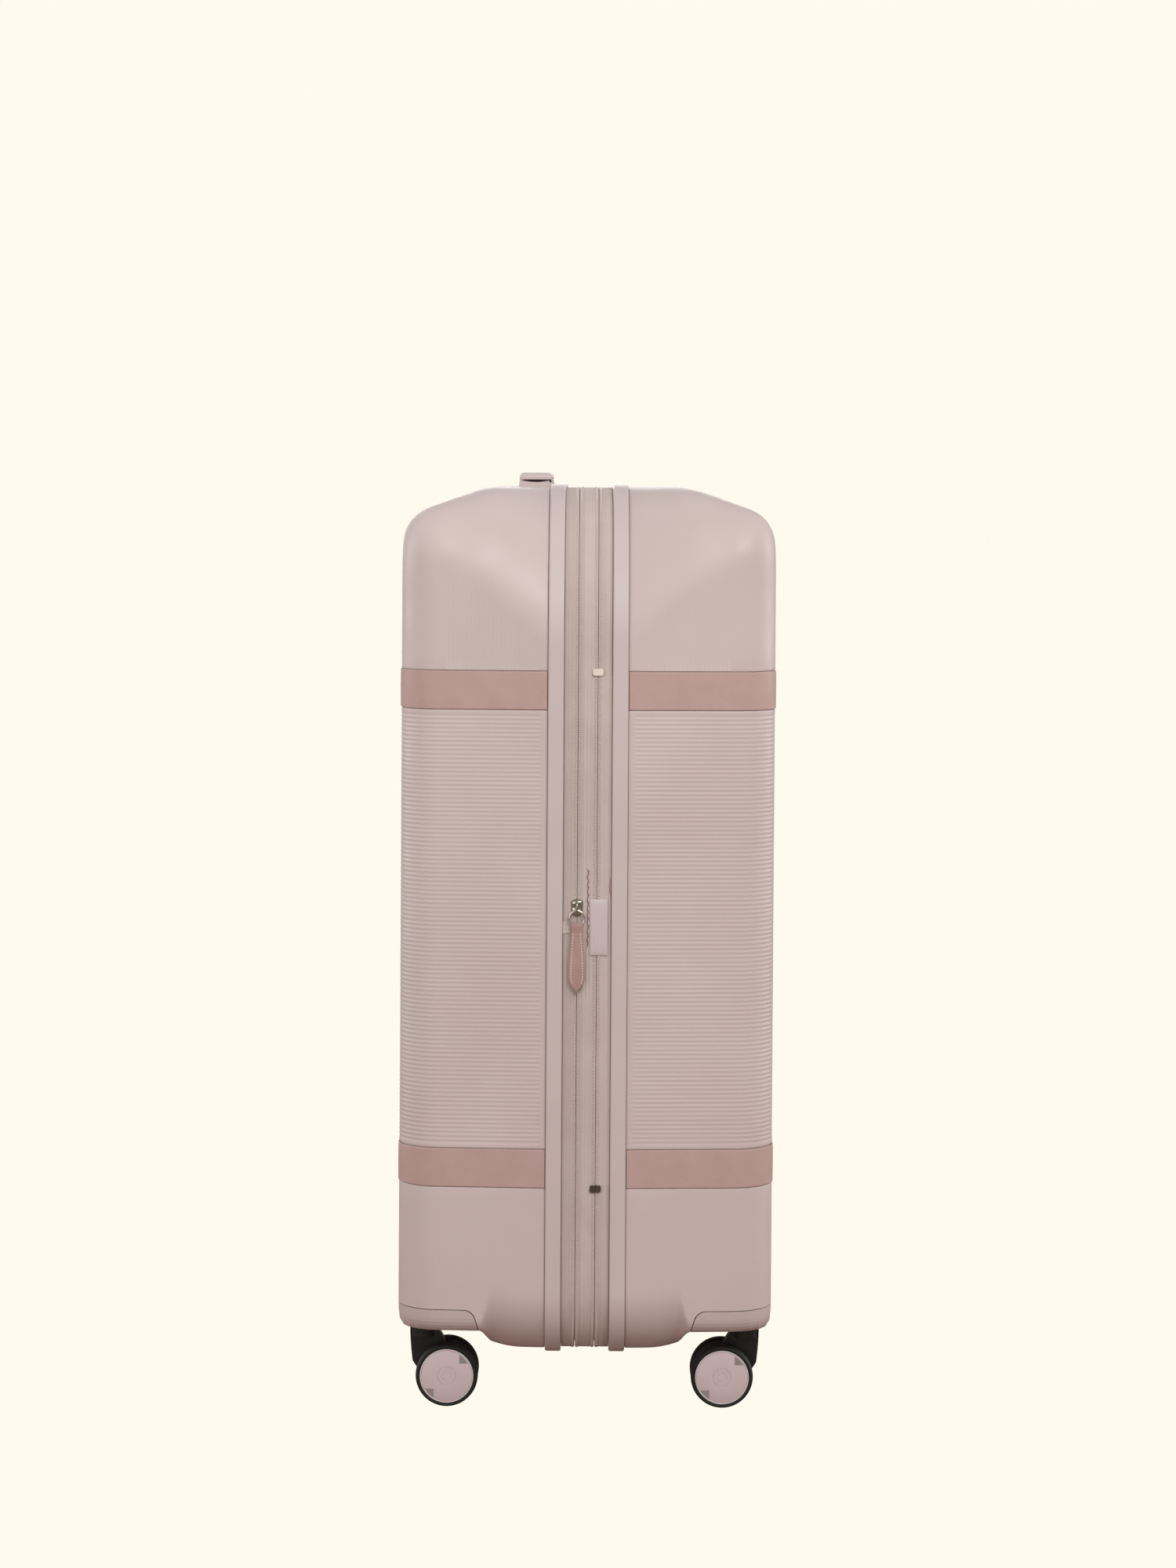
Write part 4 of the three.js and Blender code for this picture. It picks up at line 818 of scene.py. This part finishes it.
def outline_at(y, round_steps=20):
    """The case's outline in X and Z with outward normals, from the right side round over the top."""
    half, top, bottom = half_width_at(y), top_at(y), bottom_at(y)
    high, low = top_radius_at(y), bottom_radius_at(y)
    corners = [(half - high, top - high, high), (high - half, top - high, high),
               (low - half, bottom + low, low), (half - low, bottom + low, low)]
    points, normals = [], []
    for quarter, (x, z, radius) in enumerate(corners):
        turn = np.radians(np.linspace(quarter * 90, quarter * 90 + 90, round_steps + 1))
        direction = np.stack([np.cos(turn), np.sin(turn)], -1)
        points.append((x, z) + radius * direction)
        normals.append(direction)
    return np.vstack(points), np.vstack(normals)


RIM_PATH, RIM_NORMALS = outline_at(RIM_OUTER)
HINGE_LOW, HINGE_HIGH = STOP_LOWER[1][2] + SEAM, STOP_UPPER[0][2] - SEAM

RIM_THICKNESS, RIM_OUTER_ROUND, RIM_INNER_ROUND = 7.7, 1.6, 1.4
# distances in from the rim's crest and from its outer side, round the shadow groove beside the shell
RIM_GROOVE = ((1.05, 0.1), (1.25, 0.5), (1.9, 0.5), (2.05, 0))
LIP_OUTER, LIP_INNER = WALL + 0.9, WALL + 2.5


def path_round_hinge():
    """The outline from the foot of the hinge down, under, up and over to the head of the hinge."""
    quarter = len(RIM_PATH) // 4
    order = np.r_[2 * quarter:4 * quarter, 0:2 * quarter]
    left = (-1.0, 0.0)
    return (np.vstack([(-HALF_WIDTH, HINGE_LOW), RIM_PATH[order], (-HALF_WIDTH, HINGE_HIGH)]),
            np.vstack([left, RIM_NORMALS[order], left]))


def make_rim(half, side):
    """The profile that stands proud round the opening, and the lip inside the shell."""
    inner, outer, proud, deep = RIM_INNER, RIM_OUTER, RIM_PROUD, RIM_PROUD - RIM_THICKNESS
    profile = [
        (proud - RIM_INNER_ROUND + RIM_INNER_ROUND * math.cos(turn),
         inner + RIM_INNER_ROUND - RIM_INNER_ROUND * math.sin(turn))
        for turn in np.radians(np.linspace(90, 0, 7))]
    profile += [(proud, y) for y in np.linspace(inner + 1.6, outer - 1.8, 4)]
    profile += [
        (proud - RIM_OUTER_ROUND + RIM_OUTER_ROUND * math.cos(turn),
         outer - RIM_OUTER_ROUND + RIM_OUTER_ROUND * math.sin(turn))
        for turn in np.radians(np.linspace(0, 60, 6))]
    profile += [(proud - down, outer - back) for down, back in RIM_GROOVE] + [(deep, outer), (deep, inner)]
    lip = rounded((-LIP_INNER, outer - 1.6), (-LIP_OUTER, RIM_LIP_END), 0.4, 3)
    parts = [sweep(RIM_PATH, RIM_NORMALS, section, "y", True, side) for section in (profile, lip)]
    mesh_piece(f"{half}_rim_profile", parts, RIM_LOOK, f"{half}_half", [f"{half}_rim"], 40)


def ridged(low_y, high_y, top, thickness, ridges, height=0.25, width=0.7):
    """A tape's cross-section, with fine raised ridges at the given distances."""
    profile = [(top - thickness, low_y), (top - 0.2, low_y), (top, low_y + 0.2)]
    for y in sorted(ridges):
        profile += [(top, y - width / 2), (top + height, y - width / 5),
                    (top + height, y + width / 5), (top, y + width / 2)]
    return profile + [(top, high_y - 0.2), (top - 0.2, high_y), (top - thickness, high_y)]


def at_length(path, normals, pitch, closed):
    """Places, tangents and normals every pitch along a flat path."""
    loop = np.vstack([path, path[:1]]) if closed else path
    turned = np.vstack([normals, normals[:1]]) if closed else normals
    steps = np.linalg.norm(np.diff(loop, axis=0), axis=1)
    along = np.r_[0, np.cumsum(steps)]
    count = int(along[-1] / pitch)
    where = (np.arange(count) + 0.5) * along[-1] / count
    place = np.stack([np.interp(where, along, loop[:, i]) for i in (0, 1)], -1)
    normal = np.stack([np.interp(where, along, turned[:, i]) for i in (0, 1)], -1)
    normal /= np.linalg.norm(normal, axis=1, keepdims=True)
    return place, np.stack([-normal[:, 1], normal[:, 0]], -1), normal


def pegs(places, tangents, normals, y, length, width, base, height):
    """Small tapered pegs standing on a flat path at one distance y."""
    quads = []
    for rise, grow in ((base, 1.0), (base + height * 0.6, 0.95), (base + height, 0.55)):
        for along, across in ((-1, -1), (1, -1), (1, 1), (-1, 1)):
            spot = places + normals * rise + tangents * (along * length / 2 * grow)
            far = np.full(len(spot), y + across * width / 2 * grow)
            quads.append(np.stack([spot[:, 0], far, spot[:, 1]], -1))
    points = np.stack(quads, 1).reshape(-1, 3)
    template = [[3, 2, 1, 0], [8, 9, 10, 11]]
    template += [[r + i, r + (i + 1) % 4, r + 4 + (i + 1) % 4, r + 4 + i] for r in (0, 4) for i in range(4)]
    faces = [[12 * peg + corner for corner in face] for peg in range(len(places)) for face in template]
    return points, faces


TAPE_TOP = TAPE_HALF_WIDTH - HALF_WIDTH
TOOTH = {"length": 1.05, "width": 1.9, "height": 0.75}
TOOTH_PITCH = 1.75
TOOTH_FROM_ZIP = 1.75
STITCH = {"length": 1.9, "width": 0.55, "height": 0.3}
STITCH_PITCH = 2.9
HINGE_PATH = np.array([(-HALF_WIDTH, z) for z in np.linspace(HINGE_LOW, HINGE_HIGH, 60)])
HINGE_NORMALS = np.tile([-1.0, 0.0], (len(HINGE_PATH), 1))
OPEN_PATH, OPEN_NORMALS = path_round_hinge()
SINK = 0.15
REAR_RIDGES, BAND_RIDGES, FRONT_RIDGES = (11.1,), (-2.6, 0.2, 2.9), (-14.2,)
REAR_STITCH_ROWS, FRONT_STITCH_ROW = (15.6, 12.8), -17.0
TAPE_THICKNESS, BAND_THICKNESS, HINGE_THICKNESS = 2.2, 4.2, 0.9
FOLD_DEPTH, GUSSET_THICKNESS = 0.15, 1.2


def make_tapes():
    whole, opened = (RIM_PATH, RIM_NORMALS, True), (OPEN_PATH, OPEN_NORMALS, False)
    for node, body, ridges, thickness, route in (
            ("rear_zip_tape", "rear_half", REAR_RIDGES, TAPE_THICKNESS, whole),
            ("middle_zip_band", "expander_frame", BAND_RIDGES, BAND_THICKNESS, whole),
            ("front_zip_tape", "front_half", FRONT_RIDGES, TAPE_THICKNESS, opened),
            ("expansion_gusset", "rear_half", None, GUSSET_THICKNESS, whole)):
        low, high = box_mm(node)
        if ridges:
            profile = ridged(low[1], high[1], TAPE_TOP, thickness, ridges)
        else:
            top = high[0] - HALF_WIDTH
            profile = [(top - FOLD_DEPTH + FOLD_DEPTH * math.cos(y * 2), y)
                       for y in np.linspace(high[1], low[1], 60)]
            profile += [(top - thickness, y) for y in np.linspace(low[1], high[1], 12)]
        path, normals, closed = route
        part = sweep(path, normals, profile, "y", closed)
        mesh_piece(f"{node}_cloth", [part], FABRIC_LOOK, body, [node], 60)


def tooth_row(path, normals, closed, y):
    return pegs(*at_length(path, normals, TOOTH_PITCH, closed), y, base=TAPE_TOP - SINK, **TOOTH)


def stitch_row(path, normals, closed, y):
    return pegs(*at_length(path, normals, STITCH_PITCH, closed), y, base=TAPE_TOP - SINK / 2, **STITCH)


def make_zips():
    whole, opened = (RIM_PATH, RIM_NORMALS, True), (OPEN_PATH, OPEN_NORMALS, False)
    for name, body, look, parts in (
            ("rear_zip_teeth", "rear_half", TEETH_LOOK, [tooth_row(*whole, EXPANDER_ZIP_Y + TOOTH_FROM_ZIP)]),
            ("band_zip_teeth", "expander_frame", TEETH_LOOK, [
                tooth_row(*whole, EXPANDER_ZIP_Y - TOOTH_FROM_ZIP),
                tooth_row(*whole, MAIN_ZIP_Y + TOOTH_FROM_ZIP)]),
            ("front_zip_teeth", "front_half", TEETH_LOOK, [tooth_row(*opened, MAIN_ZIP_Y - TOOTH_FROM_ZIP)]),
            ("rear_tape_stitches", "rear_half", THREAD_LOOK, [
                stitch_row(*whole, y) for y in REAR_STITCH_ROWS]),
            ("front_tape_stitches", "front_half", THREAD_LOOK, [stitch_row(*opened, FRONT_STITCH_ROW)])):
        mesh_piece(name, parts, look, body, auto_smooth=30)


HINGE_EDGE_Y = -(RIM_INNER - SEAM)


def blend_hinge(piece):
    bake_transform(piece)


def make_hinge():
    """The stretch of front tape at the hinge, with its teeth and its stitches."""
    edge = MAIN_ZIP_Y - 0.2
    ys = np.linspace(HINGE_EDGE_Y, edge, 24)
    profile = [(TAPE_TOP + 0.12 * math.exp(-((y - FRONT_RIDGES[0]) / 0.4) ** 2), y) for y in ys]
    profile += [(TAPE_TOP - HINGE_THICKNESS, y) for y in ys[::-1]]
    row = (HINGE_PATH, HINGE_NORMALS, False)
    for name, part, look, smooth_angle in (
            ("hinge_tape_cloth", sweep(HINGE_PATH, HINGE_NORMALS, profile, "y", False), FABRIC_LOOK, 60),
            ("hinge_zip_teeth", tooth_row(*row, MAIN_ZIP_Y - TOOTH_FROM_ZIP), TEETH_LOOK, 30),
            ("hinge_tape_stitches", stitch_row(*row, FRONT_STITCH_ROW), THREAD_LOOK, 30)):
        piece = mesh_piece(name, [part], look, auto_smooth=smooth_angle)
        blend_hinge(piece)


COVER_LINES = (-2.4, 0.2, 2.8)
COVER_LINE_DEPTH, COVER_LINE_WIDTH, COVER_EDGE = 0.16, 0.45, 0.9


def make_cover():
    """The soft patch over the join of the main zip, at the hinge."""
    low, high = COVER_LOW, COVER_HIGH
    zs, ys = np.meshgrid(np.linspace(low[2], high[2], 30), np.linspace(low[1], high[1], 40), indexing="ij")
    middle, half = (low + high) / 2, (high - low) / 2
    crown = (1 - np.abs((ys - middle[1]) / half[1]) ** 8) * (1 - np.abs((zs - middle[2]) / half[2]) ** 12)
    lines = sum(np.exp(-((ys - middle[1] - away) / COVER_LINE_WIDTH) ** 2) for away in COVER_LINES)
    raised = low[0] + COVER_LINE_DEPTH * (1 - np.minimum(lines, 1))
    under = np.stack([np.full(ys.shape, high[0]), ys, zs], -1)
    over = np.stack([raised * crown + (high[0] - COVER_EDGE) * (1 - crown), ys, zs], -1)
    patch = mesh_piece("zip_joint_patch", [layers(under, over)], COVER_LOOK, None, ["zip_joint_cover"],
                       50)
    blend_hinge(patch)


for half, side in SIDES.items():
    make_shell(half, side)
    make_rim(half, side)
    for level in BANDS:
        make_band(half, side, level)
make_tapes()
make_zips()
make_hinge()
make_cover()

# ------------------------------------------------------------------ castors

WHEEL_LOW, WHEEL_HIGH = box_mm("castor_wheels_rear_left")
WHEEL_RADIUS = (WHEEL_HIGH[2] - WHEEL_LOW[2]) / 2
HUB_RADIUS = 0.862 * WHEEL_RADIUS
RING_WIDTH = 0.95
FLAG_START = 0.41 * WHEEL_RADIUS
FLAG_RISE = 0.18
WHEEL_WIDTH = 15
CIRCLES = (0.3, 0.27, 0.15)
CASTOR_LOOKS = {"tyre": TYRE_LOOK, "ring": HUB_RING_LOOK, "disc": HUB_LOOK, "flag": FLAG_LOOK}


def make_wheels(corner):
    """Two tyres on one axle, with a disc on each outer face that has a ring, two flags and fine circles."""
    low, high = box_mm(f"castor_wheels_{corner}")
    centre, outer, r = (low + high) / 2, (high[0] - low[0]) / 2, WHEEL_RADIUS
    inner = outer - WHEEL_WIDTH
    tread = [(3.0, inner), (r - 3, inner), (r - 1.2, inner + 0.6), (r - 0.3, inner + 2.2), (r, inner + 4.5),
             (r, outer - 4.2), (r - 0.25, outer - 2.6), (r - 0.9, outer - 1.3), (r - 1.7, outer - 0.75),
             (r - 2.2, outer - 1.0), (HUB_RADIUS, outer - 1.1), (HUB_RADIUS, outer - 1.6), (3.0, outer - 1.6)]
    ring_inner, ring_outer = HUB_RADIUS - RING_WIDTH, HUB_RADIUS - 0.05
    ring = [(ring_inner, outer - 1.5), (ring_inner, outer - 0.35),
            (HUB_RADIUS - RING_WIDTH / 2, outer - 0.15), (ring_outer, outer - 0.4), (ring_outer, outer - 1.5)]
    edge = ring_inner - 0.12
    disc = [(0, outer - 1.5), (edge, outer - 1.5), (edge, outer - 0.65), (edge - 0.3, outer - 0.5)]
    for circle in CIRCLES:
        disc += [(circle * r + 0.2, outer - 0.5), (circle * r, outer - 0.72), (circle * r - 0.2, outer - 0.5)]
    disc.append((0, outer - 0.5))
    axle = [(0, -inner - 1), (2.9, -inner - 1), (2.9, inner + 1), (0, inner + 1)]
    reach = edge - 0.6
    corner_angle = math.asin(FLAG_START / reach)
    bow = arc((0, 0), reach, math.degrees(corner_angle), 90 - math.degrees(corner_angle), 8)
    outline = np.vstack([(FLAG_START, FLAG_START), bow])
    shapes = {name: [] for name in CASTOR_LOOKS}
    for hand in (-1, 1):
        for name, profile in (("tyre", tread), ("ring", ring), ("disc", disc)):
            shapes[name].append(lathe([(a, b * hand) for a, b in profile], centre, "x", 72))
        face = centre[0] + hand * (outer - 0.5)
        span = sorted((face, face + hand * FLAG_RISE))
        shapes["flag"] += [prism(outline * (-turn, turn) + centre[1:], *span, "x") for turn in (-1, 1)]
    shapes["tyre"].append(lathe(axle, centre, "x", 24))
    body = f"castor_wheels_{corner}"
    for name, parts in shapes.items():
        replaced = [body] if name == "tyre" else ()
        mesh_piece(f"castor_{name}_{corner}", parts, CASTOR_LOOKS[name], body, replaced, 40)


for corner in CORNERS:
    make_wheels(corner)

# ------------------------------------------------------------------ carry handles

HANDLE_SPLIT, HANDLE_HEIGHT, HANDLE_ARCH, HANDLE_EASE = 5.8, 12, 1.6, 4.0
MOUNT_LENGTH, MOUNT_INSET = 35, 2
DISH_DEPTH, DISH_EDGE = 1.5, 1.6
# places along a seat from -1 to 1, and how far its outline shrinks there
SEAT_SECTIONS = (
    (-1, 0.8), (-0.96, 0.25), (-0.9, 0), (-0.3, 0), (0.3, 0), (0.9, 0), (0.96, 0.25), (1, 0.8))
PIN = ((0, 0), (0.9, 0), (0.9, 1.2), (0.6, 1.5), (0, 1.5))


def carry_handle(kind):
    """A grip on two legs over two dished mounts. Local u runs along it, v across and n out of the case."""
    low, high = box_mm(f"{kind}_handle_grip")
    long_axis, out_axis = (0, 2) if kind == "top" else (2, 0)
    half_long, half_wide = (high[long_axis] - low[long_axis]) / 2, (high[1] - low[1]) / 2
    base, across = high[out_axis] - HANDLE_HEIGHT, (low[1] + high[1]) / 2

    def place(points):
        if kind == "top":
            return np.stack([points[:, 0], across + points[:, 1], base + points[:, 2]], -1)
        middle = (low[2] + high[2]) / 2
        return np.stack([base + points[:, 2], across + points[:, 1], middle + points[:, 0]], -1)

    mount_u = half_long - MOUNT_LENGTH / 2 - MOUNT_INSET
    arch_half = mount_u - MOUNT_LENGTH / 2 - 2
    us = [half_long - HANDLE_EASE + HANDLE_EASE * math.sin(a) for a in np.radians(np.linspace(90, 0, 8))]
    us += list(np.linspace(mount_u, 0, 12))
    us = [-u for u in us] + us[::-1][1:]
    sections = []
    for u in us:
        over = max(abs(u) - (half_long - HANDLE_EASE), 0)
        drop = HANDLE_EASE - math.sqrt(max(HANDLE_EASE ** 2 - over ** 2, 0))
        bottom = HANDLE_SPLIT + SEAM + HANDLE_ARCH * max(1 - (u / arch_half) ** 2, 0)
        section = rounded(
            (-half_wide + drop * 0.5, bottom + drop * 0.15),
            (half_wide - drop * 0.5, HANDLE_HEIGHT - drop * 0.9), [3.8 - drop * 0.8] * 2 + [0.6] * 2)
        sections.append(np.column_stack([np.full(len(section), u), section]))
    parts = [loft(sections)]
    for end in (-1, 1):
        foot = rounded((end * mount_u - 4, 0.5), (end * mount_u + 4, 7.5), 1.2, 4)
        parts.append(prism(foot, -15, HANDLE_SPLIT + 1, "z"))
    mesh_piece(f"{kind}_handle_bar", [(place(points), faces) for points, faces in parts], HANDLE_LOOK,
               f"{kind}_handle", [f"{kind}_handle_grip"], 50)
    vs = np.linspace(-half_wide, half_wide, 25)
    edge_share = np.clip((np.abs(vs) - (half_wide - DISH_EDGE)) / DISH_EDGE, 0, 1)
    dish = -DISH_DEPTH * np.clip(1 - (vs / (half_wide - 2)) ** 2, 0, 1) - 0.5 * edge_share ** 2
    for name, end in (("a", -1), ("b", 1)):
        sections = []
        for u, shrink in SEAT_SECTIONS:
            dished = smooth(-0.4, 0.8, u * end)
            level = HANDLE_SPLIT + dish * dished - shrink * (u * end < 0) - 0.3 * shrink
            ring = np.vstack([np.stack([vs, level], -1), [(half_wide + 0.6, -3), (-half_wide - 0.6, -3)]])
            sections.append(np.column_stack([np.full(len(ring), end * mount_u + u * MOUNT_LENGTH / 2), ring]))
        points, faces = loft(sections)
        mesh_piece(f"{kind}_handle_seat_{name}", [(place(points), faces)], HANDLE_LOOK, "rear_half",
                   [f"{kind}_handle_mount_{name}"], 35)
        points, faces = lathe(PIN, (0, 1.2 - half_wide, HANDLE_SPLIT - 0.9), "x", 16)
        points = points * (end, 1, 1) + (end * (mount_u + MOUNT_LENGTH / 2 - 0.9), 0, 0)
        mesh_piece(f"{kind}_handle_pin_{name}", [(place(points), faces)], BLACK_LOOK, "rear_half")


for kind in ("top", "side"):
    carry_handle(kind)

# ------------------------------------------------------------------ slider, ring, leather puller and trims

BAIL_HALF, BAIL_HEIGHT, BAIL_WIRE = 4.6, 3.2, 0.8


def make_slider():
    """The expander slider: a waisted body with a swollen back, and an arched bail for the ring."""
    low, high = box_mm("expander_slider")
    _, middle_y, middle_z = (low + high) / 2
    _, half_y, half_z = (high - low) / 2
    base = high[0]
    share = np.linspace(-1, 1, 24)
    width = half_y * (0.86 + 0.14 * share ** 2 - 0.2 * smooth(0.2, 1.0, -share))
    turn = np.linspace(0, math.pi, 15)
    sections = []
    for at, wide in zip(share, width):
        rise = 2.6 * (1 - 0.35 * abs(at) ** 4) - 0.5 * (1 - smooth(0.0, 0.5, abs(at)))
        ease = max(1 - abs(at) ** 10, 0.4)
        dome = np.stack([-wide * ease * np.cos(turn), rise * ease * np.sin(turn) ** 0.6], -1)
        ring = np.vstack([dome, [(wide * ease, 0), (-wide * ease, 0)]])
        sections.append(np.column_stack([
            base - ring[:, 1], middle_y + ring[:, 0], np.full(len(ring), middle_z + at * half_z)]))
    turn = np.linspace(0, math.pi, 17)
    wire = np.stack([base - 2.0 - BAIL_HEIGHT * np.sin(turn) ** 0.8, np.full(len(turn), middle_y),
                     middle_z + BAIL_HALF * np.cos(turn)], -1)
    mesh_piece("expander_slider_body", [loft(sections), tube(wire, BAIL_WIRE)], NICKEL_LOOK,
               "expander_slider", ["expander_slider"], 50)


def make_ring():
    low, high = box_mm("expander_ring")
    centre, radius = (low + high) / 2, (high[2] - low[2]) / 2
    wire = (high[0] - low[0]) / 2
    turn = np.linspace(0, 2 * math.pi, 48, endpoint=False)
    loop = centre + (radius - wire) * np.stack([0 * turn, np.sin(turn), np.cos(turn)], -1)
    mesh_piece("expander_ring_wire", [tube(loop, wire + 0.25, True, 12)], RING_METAL_LOOK, "expander_pull",
               ["expander_ring"], 180)


def strap_half_width(z, low, high, wide):
    """Half the leather puller's width at a height: squared above, swelling down, then a rounded point."""
    share = (high - z) / (high - low)
    body = wide * (0.72 + 0.28 * smooth(0.0, 0.75, share))
    tip = 1 - max((share - 0.77) / 0.23, 0) ** 2.2
    return body * max(tip, 0.14)


STRAP_THICK, STRAP_POINT, STITCH_INSET, STITCH_STEP = 1.1, 12, 2.0, 2.2


def make_puller():
    """The leather strap, thicker where it folds over the ring, with stitches along its edges."""
    low, high = box_mm("expander_puller")
    middle_x, middle_y, _ = (low + high) / 2
    bottom, top, wide = low[2], high[2], (high[1] - low[1]) / 2
    point = bottom + STRAP_POINT * (1 - np.sin(np.radians(np.linspace(4, 90, 16))))
    sections = []
    for z in (*np.linspace(top, bottom + STRAP_POINT, 26), *point):
        half = strap_half_width(z, bottom, top, wide)
        fold = 0.6 * smooth(top - 7, top - 3, z) * (1 - smooth(top - 0.8, top, z) * 0.6)
        depth = STRAP_THICK + fold
        ring = rounded((-depth, -half), (depth, half), min(0.75, half * 0.9), 4)
        pillow = 0.18 * np.cos(np.clip(ring[:, 1] / max(half, 0.1), -1, 1) * math.pi / 2)
        ring[:, 0] += np.sign(ring[:, 0]) * pillow
        ring += (middle_x, middle_y)
        sections.append(np.column_stack([ring, np.full(len(ring), z)]))
    mesh_piece("expander_puller_leather", [loft(sections)], LEATHER_LOOK, "expander_pull",
               ["expander_puller"], 60)
    dashes = []
    for side in (-1, 1):
        edge = np.array([(middle_y + side * (strap_half_width(z, bottom, top, wide) - STITCH_INSET), z)
                         for z in np.linspace(top - 8, bottom + 6.5, 60)])
        places, _, _ = at_length(edge, np.tile([1.0, 0.0], (len(edge), 1)), STITCH_STEP, False)
        for face in (-1, 1):
            level = middle_x + face * (STRAP_THICK + 0.05)
            span = sorted((level, level + face * 0.42))
            dashes += [prism(rounded((y - 0.38, z - 0.75), (y + 0.38, z + 0.75), 0.3, 3), *span, "x", 0.12)
                       for y, z in places]
    mesh_piece("expander_puller_stitches", dashes, STITCH_LOOK, "expander_pull")


FABRIC_TOP = -TAPE_HALF_WIDTH
TAB_LOW, TAB_HIGH, TAB_START = 384.2, 393.6, 13.1
ROSE_LOW, ROSE_HIGH, ROSE_STEP, ROSE_HALF, ROSE_Y = 375.5, 436, 3.1, 1.35, -0.6
ROSE_RADIUS, LOOSE_RADIUS = 0.36, 0.16
LOOSE_Y, LOOSE_HIGH, LOOSE_LENGTH = -18.2, 428, 16


def make_stops():
    for level, look in (("upper", CREAM_METAL_LOOK), ("lower", GUNMETAL_LOOK)):
        low, high = box_mm(f"zip_stop_{level}")
        parts = [prism(rounded(low[1:], high[1:], 1.5, 5), low[0], high[0], "x", 0.45)]
        for z in np.linspace(low[2] + 1.6, high[2] - 1.6, 3):
            ridge = rounded((low[1] + 1.2, z - 0.25), (high[1] - 1.2, z + 0.25), 0.2, 2)
            parts.append(prism(ridge, low[0] - 0.12, low[0] + 0.3, "x"))
        mesh_piece(f"zip_stop_{level}_clamp", parts, look, "expander_frame", [f"zip_stop_{level}"],
                   40)


def make_tab():
    """The small fabric tab beside the slider, wavy, with a frayed lower edge."""
    levels = np.linspace(TAB_LOW, TAB_HIGH, 14)
    zs, ys = np.meshgrid(levels, np.linspace(TAB_START, RIM_INNER - 0.1, 10), indexing="ij")
    wave = 0.12 * np.sin(ys * 2.1) + 0.1 * np.sin(zs * 1.7)
    droop = 0.6 * (1 - smooth(TAB_LOW, TAB_LOW + 2.5, zs)) * (0.5 + 0.5 * np.sin(ys * 1.3))
    drooped = zs + np.where(zs < levels[3], droop, 0)
    under, over = (np.stack([FABRIC_TOP - lift - wave, ys, drooped], -1) for lift in (0.2, 0.95))
    mesh_piece("rear_tape_tab", [layers(under, over)], FABRIC_LOOK, "rear_half",
               auto_smooth=50)


def make_threads():
    """The rose hand stitching along the middle band, and a loose thread end on the front tape."""
    parts = []
    share = np.linspace(-1, 1, 7)
    for number, z in enumerate(np.arange(ROSE_LOW, ROSE_HIGH, ROSE_STEP)):
        lean = 0.55 if number % 2 else -0.35
        wire = np.stack([
            FABRIC_TOP - 0.25 - 0.35 * (1 - share ** 2),
            ROSE_Y + lean * share + 0.25 * math.sin(number * 2.3), z + ROSE_HALF * share], -1)
        parts.append(tube(wire, ROSE_RADIUS, sides=7))
    mesh_piece("rose_hand_stitches", parts, ROSE_THREAD_LOOK, "expander_frame",
               auto_smooth=60)
    share = np.linspace(0, 1, 26)
    loose = np.stack([
        FABRIC_TOP - 0.5 - 0.5 * np.sin(share * math.pi), LOOSE_Y + 1.1 * np.sin(share * 5.0) * share,
        LOOSE_HIGH - LOOSE_LENGTH * share], -1)
    mesh_piece("loose_thread", [tube(loose, LOOSE_RADIUS, sides=6)], ROSE_THREAD_LOOK, "front_half",
               auto_smooth=60)


make_slider()
make_ring()
make_puller()
make_stops()
make_tab()
make_threads()

# ------------------------------------------------------------------ carried-over CAD pieces

EDGE_ANGLE = math.radians(35)


def dress(node, look, width):
    """Gives a CAD piece its material, and modifiers that join its faces and ease its edges."""
    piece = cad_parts[node]
    if not piece.material_slots:
        piece.data.materials.append(look)
    for slot in piece.material_slots:
        slot.material = look
    weld = piece.modifiers.new("weld", "WELD")
    weld.merge_threshold = 2e-5
    bevel = piece.modifiers.new("edges", "BEVEL")
    bevel.width = width * MM
    bevel.segments = 3
    bevel.limit_method = "ANGLE"
    bevel.angle_limit = EDGE_ANGLE
    bevel.harden_normals = False


DRESSED = {
    "rear_lining": (LINING_LOOK, 1.5), "front_lining": (LINING_LOOK, 1.5),
    "trolley_bay": (TROLLEY_LOOK, 1.0), "trolley_grip": (TROLLEY_LOOK, 1.2),
    "trolley_button": (BUTTON_LOOK, 0.6),
    "lock_housing": (TROLLEY_LOOK, 0.8), "lock_button": (BUTTON_LOOK, 0.6),
    "main_slider_upper": (NICKEL_LOOK, 0.3), "main_slider_lower": (NICKEL_LOOK, 0.3),
    "main_puller_upper": (NICKEL_LOOK, 0.3), "main_puller_lower": (NICKEL_LOOK, 0.3),
    "packing_strap_left": (WEBBING_LOOK, 0.3), "packing_strap_right": (WEBBING_LOOK, 0.3),
    "strap_buckle": (BUCKLE_LOOK, 0.8),
}
DRESSED |= {f"lock_dial_{number}": (DIAL_LOOK, 0.3) for number in (1, 2, 3)}
DRESSED |= {f"castor_housing_{corner}": (HOUSING_LOOK, 0.8) for corner in CORNERS}
DRESSED |= {f"castor_fork_{corner}": (BLACK_LOOK, 0.7) for corner in CORNERS}
DRESSED |= {f"trolley_{tube}_{hand}": (TUBE_LOOK, 0.5)
            for tube in ("guide", "middle_tube", "inner_tube") for hand in ("left", "right")}
for node, (look, width) in DRESSED.items():
    dress(node, look, width)
